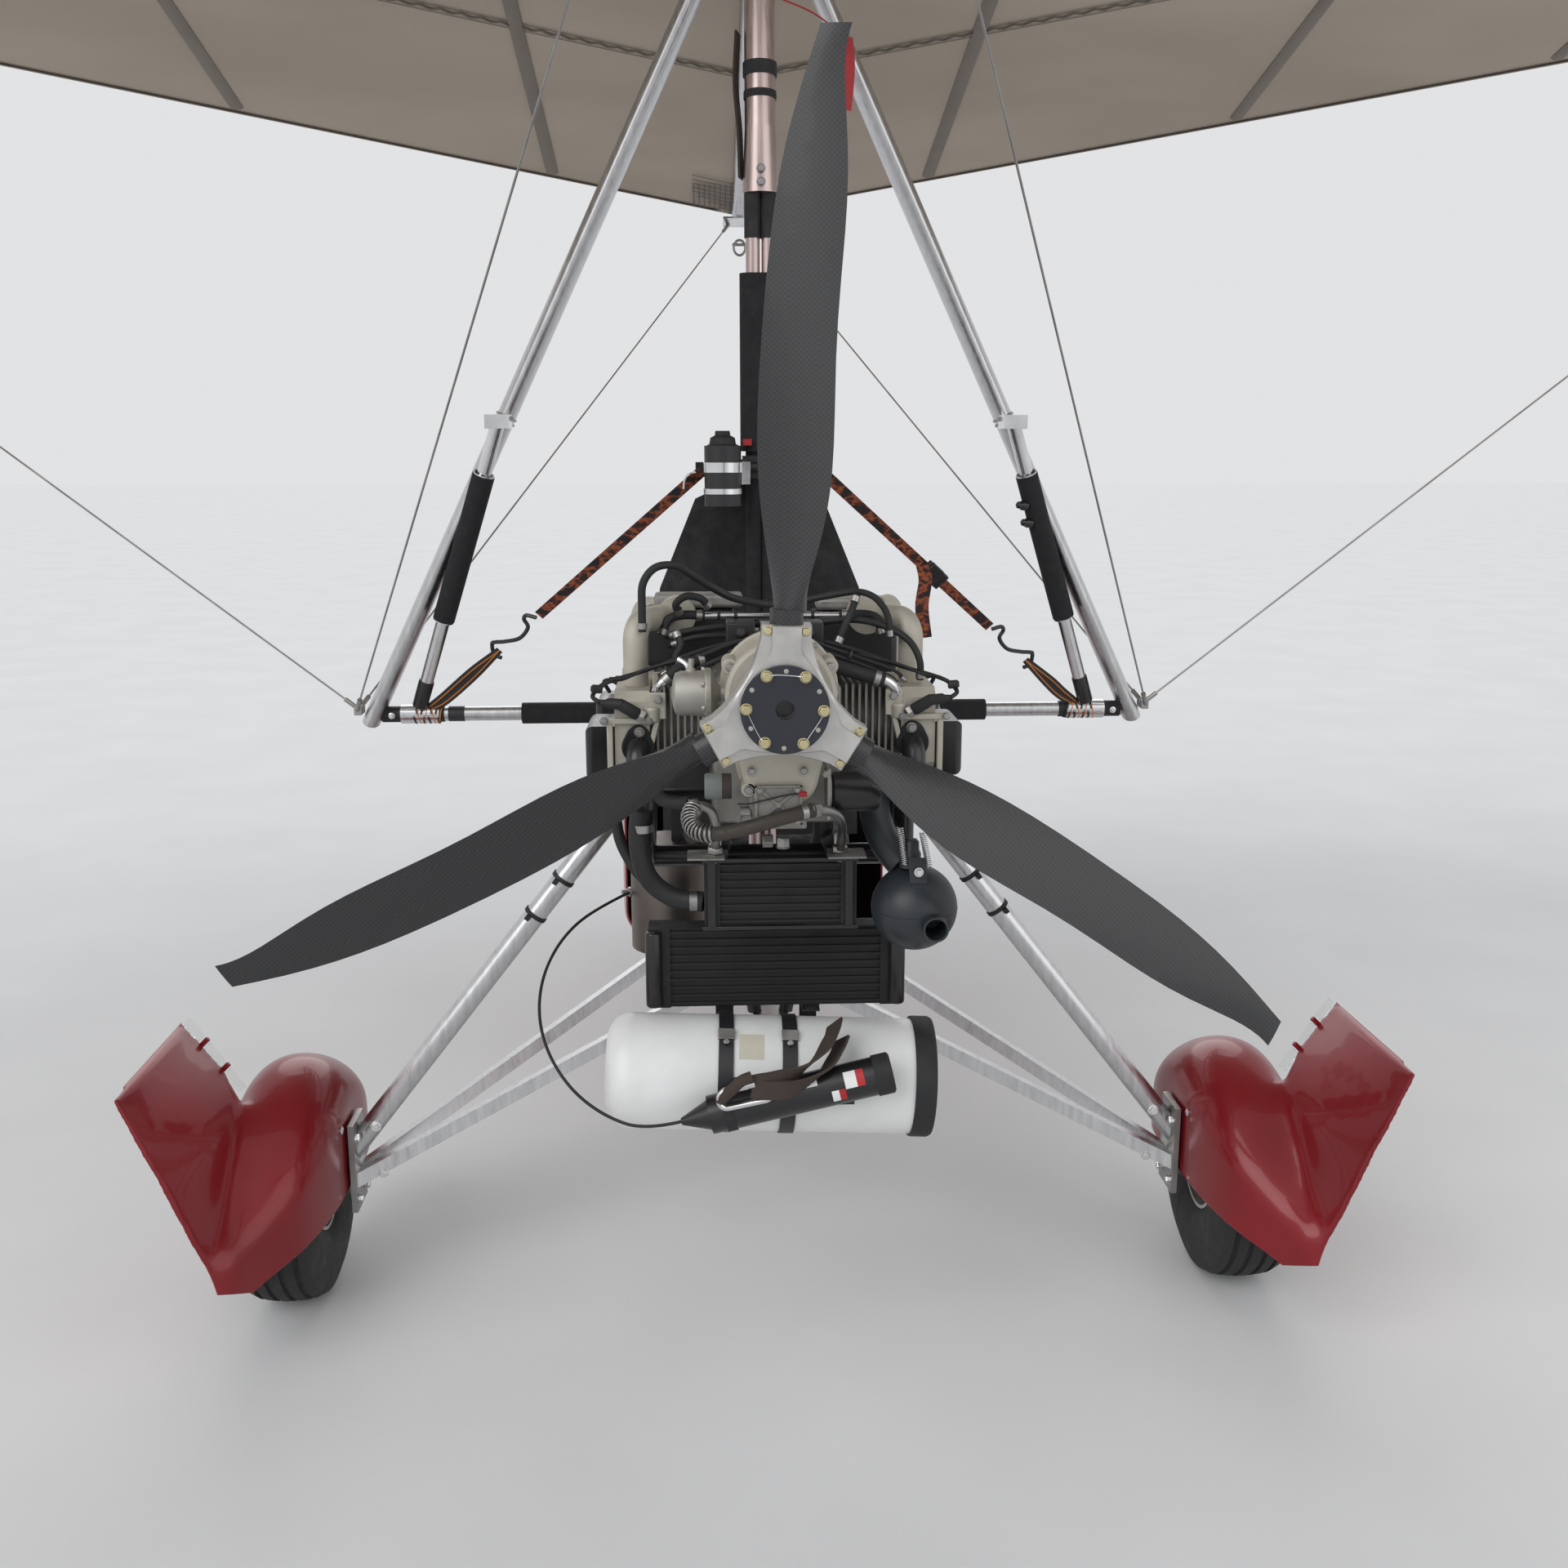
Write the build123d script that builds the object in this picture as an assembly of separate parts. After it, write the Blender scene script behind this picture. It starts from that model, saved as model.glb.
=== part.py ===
from build123d import *
import os
from math import cos, pi, radians, sin, sqrt, tan

# Two-seat weight-shift microlight: a tricycle with a rear engine hangs under a fabric wing.
# Sizes are in millimetres. A place is (to the right, ahead of the propeller plane, above
# the ground), and place_on_frame() sets the whole on the part's own origin.

# Frame of the part
propeller_behind_origin = 1054.925
seat_gap = 0.3
running_gap = 0.05
wall_gap = 1.0

# Main wheels and their axles
wheel_track = 1700.0
axle_ahead = 540.0
tyre_radius = 200.0
tyre_width = 140.0
tyre_shoulder = 12.0
rim_radius = 80.0
rim_width = 110.0
rim_web = 14.0
hub_radius = 32.0
axle_radius = 12.5
axle_plate_face = 735.0
axle_plate_thick = 10.0
axle_plate_size = (80.0, 165.0)
axle_plate_height = 245.0
axle_nut = 18.0
spat_boss_radius = 34.0

# Gear legs: one strut and two wishbone bars on each side
strut_radius = 19.0
strut_top = (238.0, 550.0, 915.0)
strut_foot = (735.0, 540.0, 280.0)
wishbone_side = 24.0
wishbone_height = 220.0
wishbone_spread = 18.0
wishbone_roots = (780.0, 1240.0)
wishbone_root_height = 500.0

# Wheel spats: sections from tail to nose
spat_wall = 3.0
spat_width = 200.0
spat_sections = (
    # ahead, inner edge, outer edge, bottom, top, corner radius; edges from the wheel's middle
    (215.0, 52.0, 92.0, 60.0, 250.0, 16.0),
    (300.0, -45.0, 96.0, 50.0, 345.0, 45.0),
    (400.0, -93.0, 99.0, 50.0, 425.0, 80.0),
    (560.0, -100.0, 100.0, 50.0, 450.0, 92.0),
    (740.0, -82.0, 82.0, 90.0, 365.0, 70.0),
    (830.0, -30.0, 30.0, 150.0, 235.0, 26.0),
)
spat_hem_inner = 225.0
spat_hem_outer = 100.0
fin_sections = (
    # height, out from the wheel's middle, trailing edge ahead, leading edge ahead, thickness
    (105.0, 84.0, 240.0, 400.0, 26.0),
    (300.0, 150.0, 205.0, 455.0, 24.0),
    (480.0, 220.0, 170.0, 500.0, 16.0),
)

# Nose wheel, fork and steering
nose_tyre_radius = 165.0
nose_tyre_width = 100.0
nose_rim_radius = 68.0
nose_rim_width = 76.0
nose_axle_radius = 10.0
steer_ahead = 2180.0
steer_height = 500.0
steer_rake = 20.0
head_tube_radius = 24.0
head_tube_low = -90.0
head_tube_high = 60.0
stem_radius = 16.0
stem_top = 96.0
fork_half_width = 75.0
fork_leg = (18.0, 40.0)
fork_crown = 30.0
thrust_gap = 1.0
foot_bar_half = 165.0
foot_bar_radius = 9.0
guard_gap = 18.0
guard_wall = 3.0
guard_half_angle = 75.0

# Keel beam and masts
beam_width = 60.0
beam_depth = 80.0
beam_wall = 3.0
beam_height = 500.0
beam_tail = 350.0
mast_ahead = 820.0
mast_tube_radius = 12.5
mast_tube_wall = 2.0
mast_tube_spacing = 28.0
mast_lower_top = 1985.0
mast_upper_radius = 27.0
mast_socket_radius = 32.0
mast_socket_length = 110.0
mast_socket_bore = 50.0
pad_low = 1490.0
pad_high = 1800.0
pad_size = (76.0, 44.0)

# Hang point: pitch bolt, roll bolt and the wing's keel above it
hang_ahead = 845.0
pitch_bolt_height = 2345.0
bolt_radius = 8.0
lug_radius = 18.0
lug_width = 24.0
cheek_gap = 2.0
cheek_width = 8.0
roll_rise = 55.0
keel_rise = 72.0
hang_block_size = (44.0, 50.0, 52.0)
hang_lug_gap = 6.0
hang_lug_thick = 12.0
mast_head_drop = 48.0

# Wing: keel, control frame and sail
keel_radius = 21.0
keel_wall = 2.0
wing_nose_down = 12.46
keel_front = 1640.0
keel_rear = 1190.0
apex_forward = 62.0
apex_length = 30.0
apex_drop = 51.0
apex_half = 29.0
upright_chord = 72.0
upright_thick = 36.0
upright_foot = (806.0, 1170.0, 935.0)
bar_height = 950.0
bar_radius = 15.0
bar_wall = 2.0
grip_radius = 14.0
grip_top = (497.0, 998.0, 1545.0)
grip_foot = (703.0, 1160.0, 968.0)
foam_radius = 21.0
foam_start = 0.17
foam_end = 0.68
sail_nose_ahead = 2463.0
sail_nose_height = 2115.0
leading_sweep = 0.4766
leading_rise = 0.119
trailing_root_ahead = -100.0
trailing_sweep = 0.097
trailing_edge_thick = 6.0
sail_sections = (
    # span station, leading edge drop back, nose-down angle, crest share of the chord, nose radius
    (0.0, 0.0, 12.46, 0.085, 26.0),
    (2500.0, 0.0, 14.0, 0.080, 24.0),
    (4350.0, 0.0, 15.0, 0.070, 18.0),
    (4950.0, 130.0, 15.0, 0.060, 10.0),
)
wire_radius = 2.0
wire_end_radius = 5.0
wire_end_length = 34.0
wire_corner_step = 16.0
wire_tail_rear = 1085.0
side_wire_span = 2700.0
side_wire_ahead = 1100.0
nose_plate_size = (90.0, 4.0, 70.0)

# Propeller
prop_height = 1155.0
prop_lean = 1.7
blade_count = 3
hub_half = 27.0
hub_core_radius = 64.0
hub_arm_reach = 112.0
hub_arm_width = 67.0
hub_flange_radius = 50.0
hub_flange_front = 47.0
hub_shaft_radius = 22.5
hub_shaft_front = 95.0
hub_bore_radius = 13.0
disc_radius = 60.0
disc_thick = 8.0
disc_pitch_radius = 52.0
disc_hole_radius = 3.5
blade_root_radius = 23.0
blade_root_start = 66.0
blade_root_end = 128.0
blade_sections = (
    # distance from the axis, chord, thickness, pitch angle, middle of the chord behind the axis
    (128.0, 46.0, 40.0, 44.0, 0.0),
    (185.0, 72.0, 26.0, 40.0, 3.0),
    (280.0, 106.0, 19.0, 33.0, 5.0),
    (400.0, 110.0, 15.0, 27.0, 4.0),
    (560.0, 101.0, 12.0, 21.0, 9.0),
    (720.0, 80.0, 9.0, 17.0, 20.0),
    (860.0, 40.0, 5.0, 14.0, 40.0),
)

# Engine: a flat-four behind the mast, with the gearbox to the rear
crank_height = 1090.0
engine_rear = 190.0
engine_front = 720.0
crankcase_half = 95.0
crankcase_low = 945.0
crankcase_high = 1190.0
crankcase_chamfer = 40.0
gearbox_rear = 75.0
gearbox_boss_radius = 76.0
gearbox_low_radius = 96.0
gearbox_nose_radius = 46.0
gearbox_nose_rear = 56.0
cylinder_places = (
    # side, ahead, height where the exhaust pipe turns to the rear or the front
    (-1, 285.0, 858.0),
    (1, 305.0, 858.0),
    (-1, 525.0, 965.0),
    (1, 545.0, 965.0),
)
barrel_radius = 48.0
barrel_out = 190.0
fin_count = 8
fin_thick = 3.5
fin_size = (128.0, 116.0)
head_out = 242.0
head_size = (146.0, 128.0)
cover_out = 288.0
cover_size = (112.0, 84.0)
cover_drop = 44.0
intake_radius = 19.0
intake_out = 212.0
intake_top = 1238.0
intake_inboard = 150.0
carb_radius = 30.0
carb_length = 95.0
carb_ahead = 415.0
exhaust_radius = 17.0
exhaust_out = 205.0
exhaust_low = 858.0
exhaust_cross_ahead = 335.0
exhaust_flange = 58.0
exhaust_bend = 40.0
silencer_middle = (205.0, 160.0, 820.0)
silencer_radius = 65.0
outlet_radius = 19.0

# Engine mount under the crankcase
mount_tube_radius = 15.0
mount_height = 905.0
bearer_half = 85.0
bearer_rear = 215.0
down_tube_radius = 12.0
mount_plate = (8.0, 60.0, 76.0)
rubber_radius = 16.0

# Coolers, tanks and rescue canister
cooler_middle = (4.0, 200.0, 838.0)
cooler_size = (231.0, 42.0, 100.0)
cooler_rows = 8
radiator_middle = (0.0, 280.0, 695.0)
radiator_size = (400.0, 50.0, 130.0)
radiator_rows = 10
radiator_feet = (-81.0, 57.0)
radiator_foot_radius = 11.0
radiator_foot_length = 10.0
core_recess = 5.0
row_thick = 4.0
oil_tank_middle = (-170.0, 550.0)
oil_tank_radius = 70.0
oil_tank_low = 640.0
oil_tank_high = 832.0
canister_middle = (-13.0, 220.0, 532.0)
canister_radius = 90.0
canister_length = 510.0
canister_tilt = 2.5
canister_dome = 40.0
strap_places = (-83.0, 15.0)
strap_width = 23.0
strap_thick = 3.0
rack_size = 40.0
rack_half = 120.0
rocket_start = (-106.0, 97.0, 518.0)
rocket_end = (167.0, 97.0, 581.0)
rocket_radius = 29.0
rocket_taper = 44.0
cable_radius = 2.5
cable_end_radius = 5.5

# Cockpit: pod, screen, seats, panel and fuel tank
pod_wall = 4.0
pod_sections = (
    # ahead, half width, bottom, top, corner radius
    (1300.0, 290.0, 415.0, 740.0, 60.0),
    (1650.0, 310.0, 380.0, 800.0, 90.0),
    (2050.0, 285.0, 448.0, 850.0, 100.0),
    (2400.0, 205.0, 454.0, 730.0, 90.0),
    (2690.0, 70.0, 500.0, 600.0, 44.0),
)
cockpit_rim_rear = 700.0
cockpit_rim_front = 790.0
cockpit_front = 1985.0
panel_ahead = 2000.0
panel_thick = 12.0
panel_low = 690.0
screen_thick = 3.0
screen_base_ahead = 2090.0
screen_base_drop = 90.0
screen_radius = 240.0
screen_half_angle = 62.0
screen_rise = 250.0
screen_rake = 35.0
tank_box = (360.0, 330.0, 124.0)
tank_ahead = 1115.0
rear_cushion = (380.0, 340.0, 60.0)
rear_cushion_ahead = 1120.0
rear_back_width = 390.0
rear_back_top_width = 210.0
rear_back_low = 740.0
rear_back_shoulder = 1230.0
rear_back_top = 1450.0
rear_back_thick = 58.0
rear_back_ahead = 893.0
front_cushion = (370.0, 400.0, 70.0)
front_cushion_ahead = 1570.0
front_back = (350.0, 50.0, 235.0)
front_back_ahead = 1342.0
bottle_middle = (-71.0, 765.0, 1447.0)
bottle_radius = 33.0
bottle_height = 106.0
strap_bar_half = 110.0
strap_bar_height = 1462.0
clamp_depth = 40.0

FROM_START = (Align.CENTER, Align.CENTER, Align.MIN)


def rod(start, end, radius):
    """Round bar from one point to another."""
    axis = Vector(*end) - Vector(*start)
    return Plane(origin=start, z_dir=axis) * Cylinder(radius, axis.length, align=FROM_START)


def tube(start, end, radius, wall):
    """Round tube with open ends from one point to another."""
    axis = Vector(*end) - Vector(*start)
    ring = Cylinder(radius, axis.length, align=FROM_START) - Cylinder(radius - wall, axis.length, align=FROM_START)
    return Plane(origin=start, z_dir=axis) * ring


def bar(start, end, width, depth, side=(1, 0, 0)):
    """Rectangular bar, its width along the side direction."""
    axis = Vector(*end) - Vector(*start)
    frame = Plane(origin=start, x_dir=side, z_dir=axis)
    return frame * Box(width, depth, axis.length, align=FROM_START)


def block(low, high):
    """Box between its lowest and highest corners."""
    size = [b - a for a, b in zip(low, high)]
    return Pos(*[(a + b) / 2 for a, b in zip(low, high)]) * Box(*size)


def centred_block(middle, size):
    return Pos(*middle) * Box(*size)


def beyond(start, end, extra):
    """Point past the end of a line by the extra length."""
    axis = (Vector(*end) - Vector(*start)).normalized()
    return tuple(Vector(*end) + axis * extra)


def both_sides(shape):
    """A shape and its mirror image across the middle plane."""
    return shape + mirror(shape, about=Plane.YZ)


def rounded_section(ahead, left, right, low, high, radius):
    """Upright section across the aircraft with rounded corners."""
    across = Plane(origin=((left + right) / 2, ahead, (low + high) / 2), x_dir=(1, 0, 0), z_dir=(0, -1, 0))
    width = right - left
    height = high - low
    return across * RectangleRounded(width, height, min(radius, 0.49 * min(width, height)))


# Wheels

def tyre(radius, width, inner_radius, inner_width):
    """Tyre with a crowned tread and bulged sides, about the X axis."""
    half = width / 2
    bead = inner_width / 2
    waist = (radius + inner_radius) / 2
    shoulder = radius - 1.2 * tyre_shoulder
    with BuildSketch(Plane.XY) as section:
        with BuildLine():
            Line((-bead, inner_radius), (bead, inner_radius))
            ThreePointArc((bead, inner_radius), (half, waist), (half - tyre_shoulder, shoulder))
            ThreePointArc((half - tyre_shoulder, shoulder), (0, radius), (tyre_shoulder - half, shoulder))
            ThreePointArc((tyre_shoulder - half, shoulder), (-half, waist), (-bead, inner_radius))
        make_face()
    return revolve(section.sketch, axis=Axis.X)


def rim(radius, width, bore):
    """Rim barrel, web and hub about the X axis, with the axle's bore."""
    barrel = Cylinder(radius, width) - Cylinder(radius - 6, width)
    web = Cylinder(radius, rim_web)
    hub = Cylinder(hub_radius, width - 10)
    return Rot(0, 90, 0) * (barrel + web + hub - Cylinder(bore, width))


def main_wheel(side):
    middle = Pos(side * wheel_track / 2, axle_ahead, tyre_radius)
    rubber = middle * tyre(tyre_radius, tyre_width, rim_radius + seat_gap, rim_width)
    metal = middle * rim(rim_radius, rim_width, axle_radius + running_gap)
    return rubber, metal


def nose_axle_place():
    lean = radians(steer_rake)
    return (0.0, steer_ahead + (steer_height - nose_tyre_radius) * tan(lean), nose_tyre_radius)


def nose_wheel():
    middle = Pos(*nose_axle_place())
    rubber = middle * tyre(nose_tyre_radius, nose_tyre_width, nose_rim_radius + seat_gap, nose_rim_width)
    metal = middle * rim(nose_rim_radius, nose_rim_width, nose_axle_radius + running_gap)
    return rubber, metal


# Undercarriage

def stub_axle():
    """Right-hand upright plate, its axle and the nut outside the hub."""
    y_size, z_size = axle_plate_size
    low = (axle_plate_face, axle_ahead - y_size / 2, axle_plate_height - z_size / 2)
    high = (axle_plate_face + axle_plate_thick, axle_ahead + y_size / 2, axle_plate_height + z_size / 2)
    middle = wheel_track / 2
    hub_end = middle + rim_width / 2 - 5
    pin = rod((axle_plate_face, axle_ahead, tyre_radius), (hub_end + 8, axle_ahead, tyre_radius), axle_radius)
    hub_start = middle - rim_width / 2 + 5
    collar = rod((axle_plate_face, axle_ahead, tyre_radius),
                 (hub_start - thrust_gap, axle_ahead, tyre_radius), axle_radius + 5)
    nut = rod((hub_end + thrust_gap, axle_ahead, tyre_radius),
              (hub_end + thrust_gap + axle_nut, axle_ahead, tyre_radius), axle_radius + 7)
    boss = rod((axle_plate_face, axle_ahead, tyre_radius), (middle, axle_ahead, tyre_radius), spat_boss_radius)
    return block(low, high) + pin + collar + nut + (boss - spat_form(-seat_gap))


def gear_strut():
    """Right-hand strut, mitred on the mount's plate and the axle's plate."""
    long = rod(beyond(strut_foot, strut_top, 60), beyond(strut_top, strut_foot, 60), strut_radius)
    room = block((strut_top[0], 0, 0), (axle_plate_face, 2 * axle_ahead, 2000))
    return long & room


def wishbone():
    """Right-hand pair of bars from the keel beam to the axle's plate."""
    bars = []
    room = block((beam_width / 2, 0, 0), (axle_plate_face, 3000, 1000))
    for root, offset in zip(wishbone_roots, (-wishbone_spread, wishbone_spread)):
        inner = (beam_width, root, wishbone_root_height)
        outer = (axle_plate_face, axle_ahead + offset, wishbone_height)
        long = bar(beyond(outer, inner, 90), beyond(inner, outer, 60), wishbone_side, wishbone_side, (0, 1, 0))
        bars.append(long & room)
    return bars[0] + bars[1]


def spat_form(inset):
    """Right-hand spat as a solid, smaller all round by the inset."""
    middle = wheel_track / 2
    faces = []
    for ahead, inner, outer, low, high, radius in spat_sections:
        place = ahead
        if ahead == spat_sections[0][0]:
            place = ahead + 4 * inset
        if ahead == spat_sections[-1][0]:
            place = ahead - inset
        faces.append(rounded_section(place, middle + inner + inset, middle + outer - inset,
                                     low - inset, high - inset, max(radius - inset, 4)))
    return loft(faces)


def fin_section(height, out, rear, front, thick):
    middle = (rear + front) / 2
    out = wheel_track / 2 + out
    with BuildSketch(Plane.XY.offset(height)) as section:
        with BuildLine():
            ThreePointArc((out, rear), (out + thick / 2, middle), (out, front))
            ThreePointArc((out, front), (out - thick / 2, middle), (out, rear))
        make_face()
    return section.sketch


def spat():
    """Right-hand spat: a hollow shell over the wheel with a canted fin on its tail."""
    fin = loft([fin_section(*row) for row in fin_sections])
    shell = spat_form(0) - spat_form(spat_wall) + (fin - spat_form(spat_wall))
    middle = wheel_track / 2
    slope = (spat_hem_outer - spat_hem_inner) / spat_width
    hem = Plane(origin=(middle - spat_width / 2, 0, spat_hem_inner), x_dir=(0, 1, 0), z_dir=(-slope, 0, 1))
    below = hem * Box(3000, 3000, 600, align=(Align.CENTER, Align.CENTER, Align.MAX))
    axle_hole = rod((axle_plate_face, axle_ahead, tyre_radius), (middle, axle_ahead, tyre_radius),
                    axle_radius + 5 + wall_gap)
    plate_low = (0, 0, 0)
    plate_high = (axle_plate_face + axle_plate_thick + seat_gap, 3000, 1000)
    return shell - below - axle_hole - block(plate_low, plate_high)


def steer_frame():
    """Plane at the steering axis, its z up along the raked axis."""
    lean = radians(steer_rake)
    return Plane(origin=(0, steer_ahead, steer_height), x_dir=(1, 0, 0), z_dir=(0, -sin(lean), cos(lean)))


def nose_fork():
    """Stem, crown, legs, axle and foot bar, about the raked steering axis."""
    frame = steer_frame()
    lean = radians(steer_rake)
    axle_drop = (steer_height - nose_tyre_radius) / cos(lean)
    crown_top = head_tube_low - thrust_gap
    crown_low = crown_top - fork_crown
    stem = Pos(0, 0, crown_low) * Cylinder(stem_radius, stem_top - crown_low, align=FROM_START)
    leg_width, leg_depth = fork_leg
    crown = Pos(0, 0, crown_low) * Box(2 * fork_half_width + leg_width, leg_depth + 16, fork_crown, align=FROM_START)
    leg = block((fork_half_width - leg_width / 2, -leg_depth / 2, -axle_drop - 20),
                (fork_half_width + leg_width / 2, leg_depth / 2, crown_low + 5))
    axle = Pos(0, 0, -axle_drop) * Rot(0, 90, 0) * Cylinder(nose_axle_radius, 2 * fork_half_width)
    spacer_length = fork_half_width - leg_width / 2 - (nose_rim_width - 10) / 2 - thrust_gap
    spacer = Pos((nose_rim_width - 10) / 2 + thrust_gap, 0, -axle_drop) * Rot(0, 90, 0) * Cylinder(
        nose_axle_radius + 5, spacer_length, align=FROM_START)
    foot_bar = Pos(0, 0, stem_top) * Rot(0, 90, 0) * Cylinder(foot_bar_radius, 2 * foot_bar_half)
    return frame * (stem + crown + both_sides(leg) + axle + both_sides(spacer) + foot_bar)


def nose_guard():
    """Mudguard over the nose tyre, held between the fork's legs."""
    radius = nose_tyre_radius + guard_gap
    half = fork_half_width - fork_leg[0] / 2 - seat_gap
    ring = Rot(0, 90, 0) * (Cylinder(radius + guard_wall, 2 * half) - Cylinder(radius, 2 * half))
    reach = 2 * radius
    swing = radians(guard_half_angle)
    with BuildSketch(Plane.YZ) as wedge:
        Polygon((0, 0), (reach * sin(swing), reach * cos(swing)), (reach, 2 * reach), (-reach, 2 * reach),
                (-reach * sin(swing), reach * cos(swing)), align=None)
    sector = extrude(wedge.sketch, amount=2 * half, both=True)
    return Pos(*nose_axle_place()) * Rot(steer_rake, 0, 0) * (ring & sector)


# Keel beam and masts

def keel_beam():
    """Box beam along the bottom, with the steering head at its front end."""
    half = beam_width / 2
    low = beam_height - beam_depth / 2
    high = beam_height + beam_depth / 2
    outer = block((-half, beam_tail, low), (half, steer_ahead + 10, high))
    inner = block((-half + beam_wall, beam_tail + beam_wall, low + beam_wall),
                  (half - beam_wall, steer_ahead - head_tube_radius - 20, high - beam_wall))
    frame = steer_frame()
    head = frame * Pos(0, 0, head_tube_low) * Cylinder(head_tube_radius, head_tube_high - head_tube_low,
                                                       align=FROM_START)
    bore = frame * Cylinder(stem_radius + running_gap, 4 * head_tube_high)
    return (outer - inner) + head - bore


def mast_tube_places():
    return [(side * mast_tube_spacing / 2, mast_ahead) for side in (-1, 1)]


def mast_lower():
    """Two round tubes side by side, standing on the keel beam."""
    foot = beam_height + beam_depth / 2
    parts = [tube((x, y, foot), (x, y, mast_lower_top), mast_tube_radius, mast_tube_wall)
             for x, y in mast_tube_places()]
    return parts[0] + parts[1]


def mast_bores(low, high):
    """Clearance cylinders round the two lower tubes."""
    parts = [rod((x, y, low), (x, y, high), mast_tube_radius + seat_gap) for x, y in mast_tube_places()]
    return parts[0] + parts[1]


def mast_upper():
    """Single tube over a tapered socket, with the hang lug on top."""
    low = mast_lower_top - mast_socket_bore
    socket_top = low + mast_socket_length
    tube_top = pitch_bolt_height - mast_head_drop
    socket = Pos(0, mast_ahead, low) * Cone(mast_socket_radius, mast_upper_radius, mast_socket_length,
                                            align=FROM_START)
    top = (0, hang_ahead, tube_top)
    long = rod((0, mast_ahead, socket_top - 10), top, mast_upper_radius)
    cap = Pos(*top) * Cylinder(mast_upper_radius, 10, align=FROM_START)
    shank = block((-lug_width / 2, hang_ahead - lug_radius, tube_top - 20),
                  (lug_width / 2, hang_ahead + lug_radius, pitch_bolt_height))
    eye = rod((-lug_width / 2, hang_ahead, pitch_bolt_height), (lug_width / 2, hang_ahead, pitch_bolt_height),
              lug_radius)
    hole = rod((-lug_width, hang_ahead, pitch_bolt_height), (lug_width, hang_ahead, pitch_bolt_height),
               bolt_radius + running_gap)
    return socket + long + cap + shank + eye - hole - mast_bores(low, mast_lower_top + seat_gap)


def mast_pad():
    """Padded sleeve round both lower tubes."""
    width, depth = pad_size
    shape = extrude(SlotOverall(width, depth), amount=pad_high - pad_low)
    return Pos(0, mast_ahead, pad_low) * shape - mast_bores(pad_low, pad_high)


def mast_bracket():
    """Clamp on the mast with the bottle, its arm and the bar for the parking straps."""
    half = mast_tube_spacing / 2 + mast_tube_radius + 8
    low = strap_bar_height - clamp_depth / 2
    high = strap_bar_height + clamp_depth / 2
    clamp = block((-half, mast_ahead - 24, low), (half, mast_ahead + 24, high))
    strap_bar = rod((-strap_bar_half, mast_ahead - 30, strap_bar_height),
                    (strap_bar_half, mast_ahead - 30, strap_bar_height), 9)
    x, y, z = bottle_middle
    bottle = Pos(x, y, z) * Cylinder(bottle_radius, bottle_height)
    arm = block((x, y, low + 6), (-half + 6, mast_ahead, high - 6))
    back_half = rear_back_top_width / 2 - 40
    seat_arm = block((-back_half, mast_ahead + 20, low - 30), (back_half, rear_back_ahead - seat_gap, low + 6))
    return clamp + strap_bar + bottle + arm + seat_arm - mast_bores(low - 30, high)


# Hang point

def keel_direction():
    angle = radians(wing_nose_down)
    return Vector(0, cos(angle), -sin(angle))


def keel_frame():
    """Plane at the roll bolt: x right, y square to the keel and up, z back along the keel."""
    aft = keel_direction() * -1
    return Plane(origin=(0, hang_ahead, pitch_bolt_height + roll_rise), x_dir=(1, 0, 0), z_dir=aft)


def hang_block():
    """Block on the mast's pitch bolt, bored along the keel for the roll bolt."""
    width, height, depth = hang_block_size
    body = keel_frame() * Box(width, height, depth)
    roll_bore = keel_frame() * Cylinder(bolt_radius + running_gap, 2 * depth)
    inner = lug_width / 2 + cheek_gap
    top = pitch_bolt_height + roll_rise
    cheek = block((inner, hang_ahead - lug_radius, pitch_bolt_height), (inner + cheek_width, hang_ahead + lug_radius, top))
    eye = rod((inner, hang_ahead, pitch_bolt_height), (inner + cheek_width, hang_ahead, pitch_bolt_height), lug_radius)
    reach = inner + cheek_width + 8
    bolt = rod((-reach, hang_ahead, pitch_bolt_height), (reach, hang_ahead, pitch_bolt_height), bolt_radius)
    return body + both_sides(cheek + eye) + bolt - roll_bore


def hang_bracket():
    """Ring round the keel with two lugs and the roll bolt, and the plates of the control frame."""
    inner = hang_block_size[2] / 2 + hang_lug_gap
    outer = inner + hang_lug_thick
    ring_radius = keel_radius + 7
    ring_front = apex_forward + apex_length / 2
    ring = Pos(0, 0, -ring_front) * Cylinder(ring_radius, ring_front + outer, align=FROM_START)
    lug = block((-22, -18, inner), (22, keel_rise, outer))
    far_lug = block((-22, -18, -outer), (22, keel_rise, -inner))
    bolt = Cylinder(bolt_radius, 2 * outer + 16)
    apex = block((-apex_half, keel_rise - apex_drop, -ring_front),
                 (apex_half, keel_rise, -apex_forward + apex_length / 2))
    keel_bore = Pos(0, keel_rise, 0) * Cylinder(keel_radius + seat_gap, 400)
    return keel_frame() * (Pos(0, keel_rise, 0) * ring + lug + far_lug + bolt + apex - keel_bore)


def keel_tube():
    """Wing keel tube with the tang for the rear wires."""
    length = keel_front + keel_rear
    shape = Cylinder(keel_radius, length) - Cylinder(keel_radius - keel_wall, length - 2 * keel_wall)
    middle = (keel_rear - keel_front) / 2
    tang = block((-20, -keel_radius - 22, wire_tail_rear - 20), (20, -keel_radius + 3, wire_tail_rear + 20))
    hollow = Cylinder(keel_radius - keel_wall, length - 2 * keel_wall)
    return keel_frame() * Pos(0, keel_rise, 0) * (Pos(0, 0, middle) * shape + (tang - Pos(0, 0, middle) * hollow))


def nose_plate():
    """Plate under the front of the keel that takes the front wires."""
    width, thick, length = nose_plate_size
    top = keel_rise - keel_radius - seat_gap
    return keel_frame() * block((-width / 2, top - thick, -keel_front), (width / 2, top, -keel_front + length))


# Control frame

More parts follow.
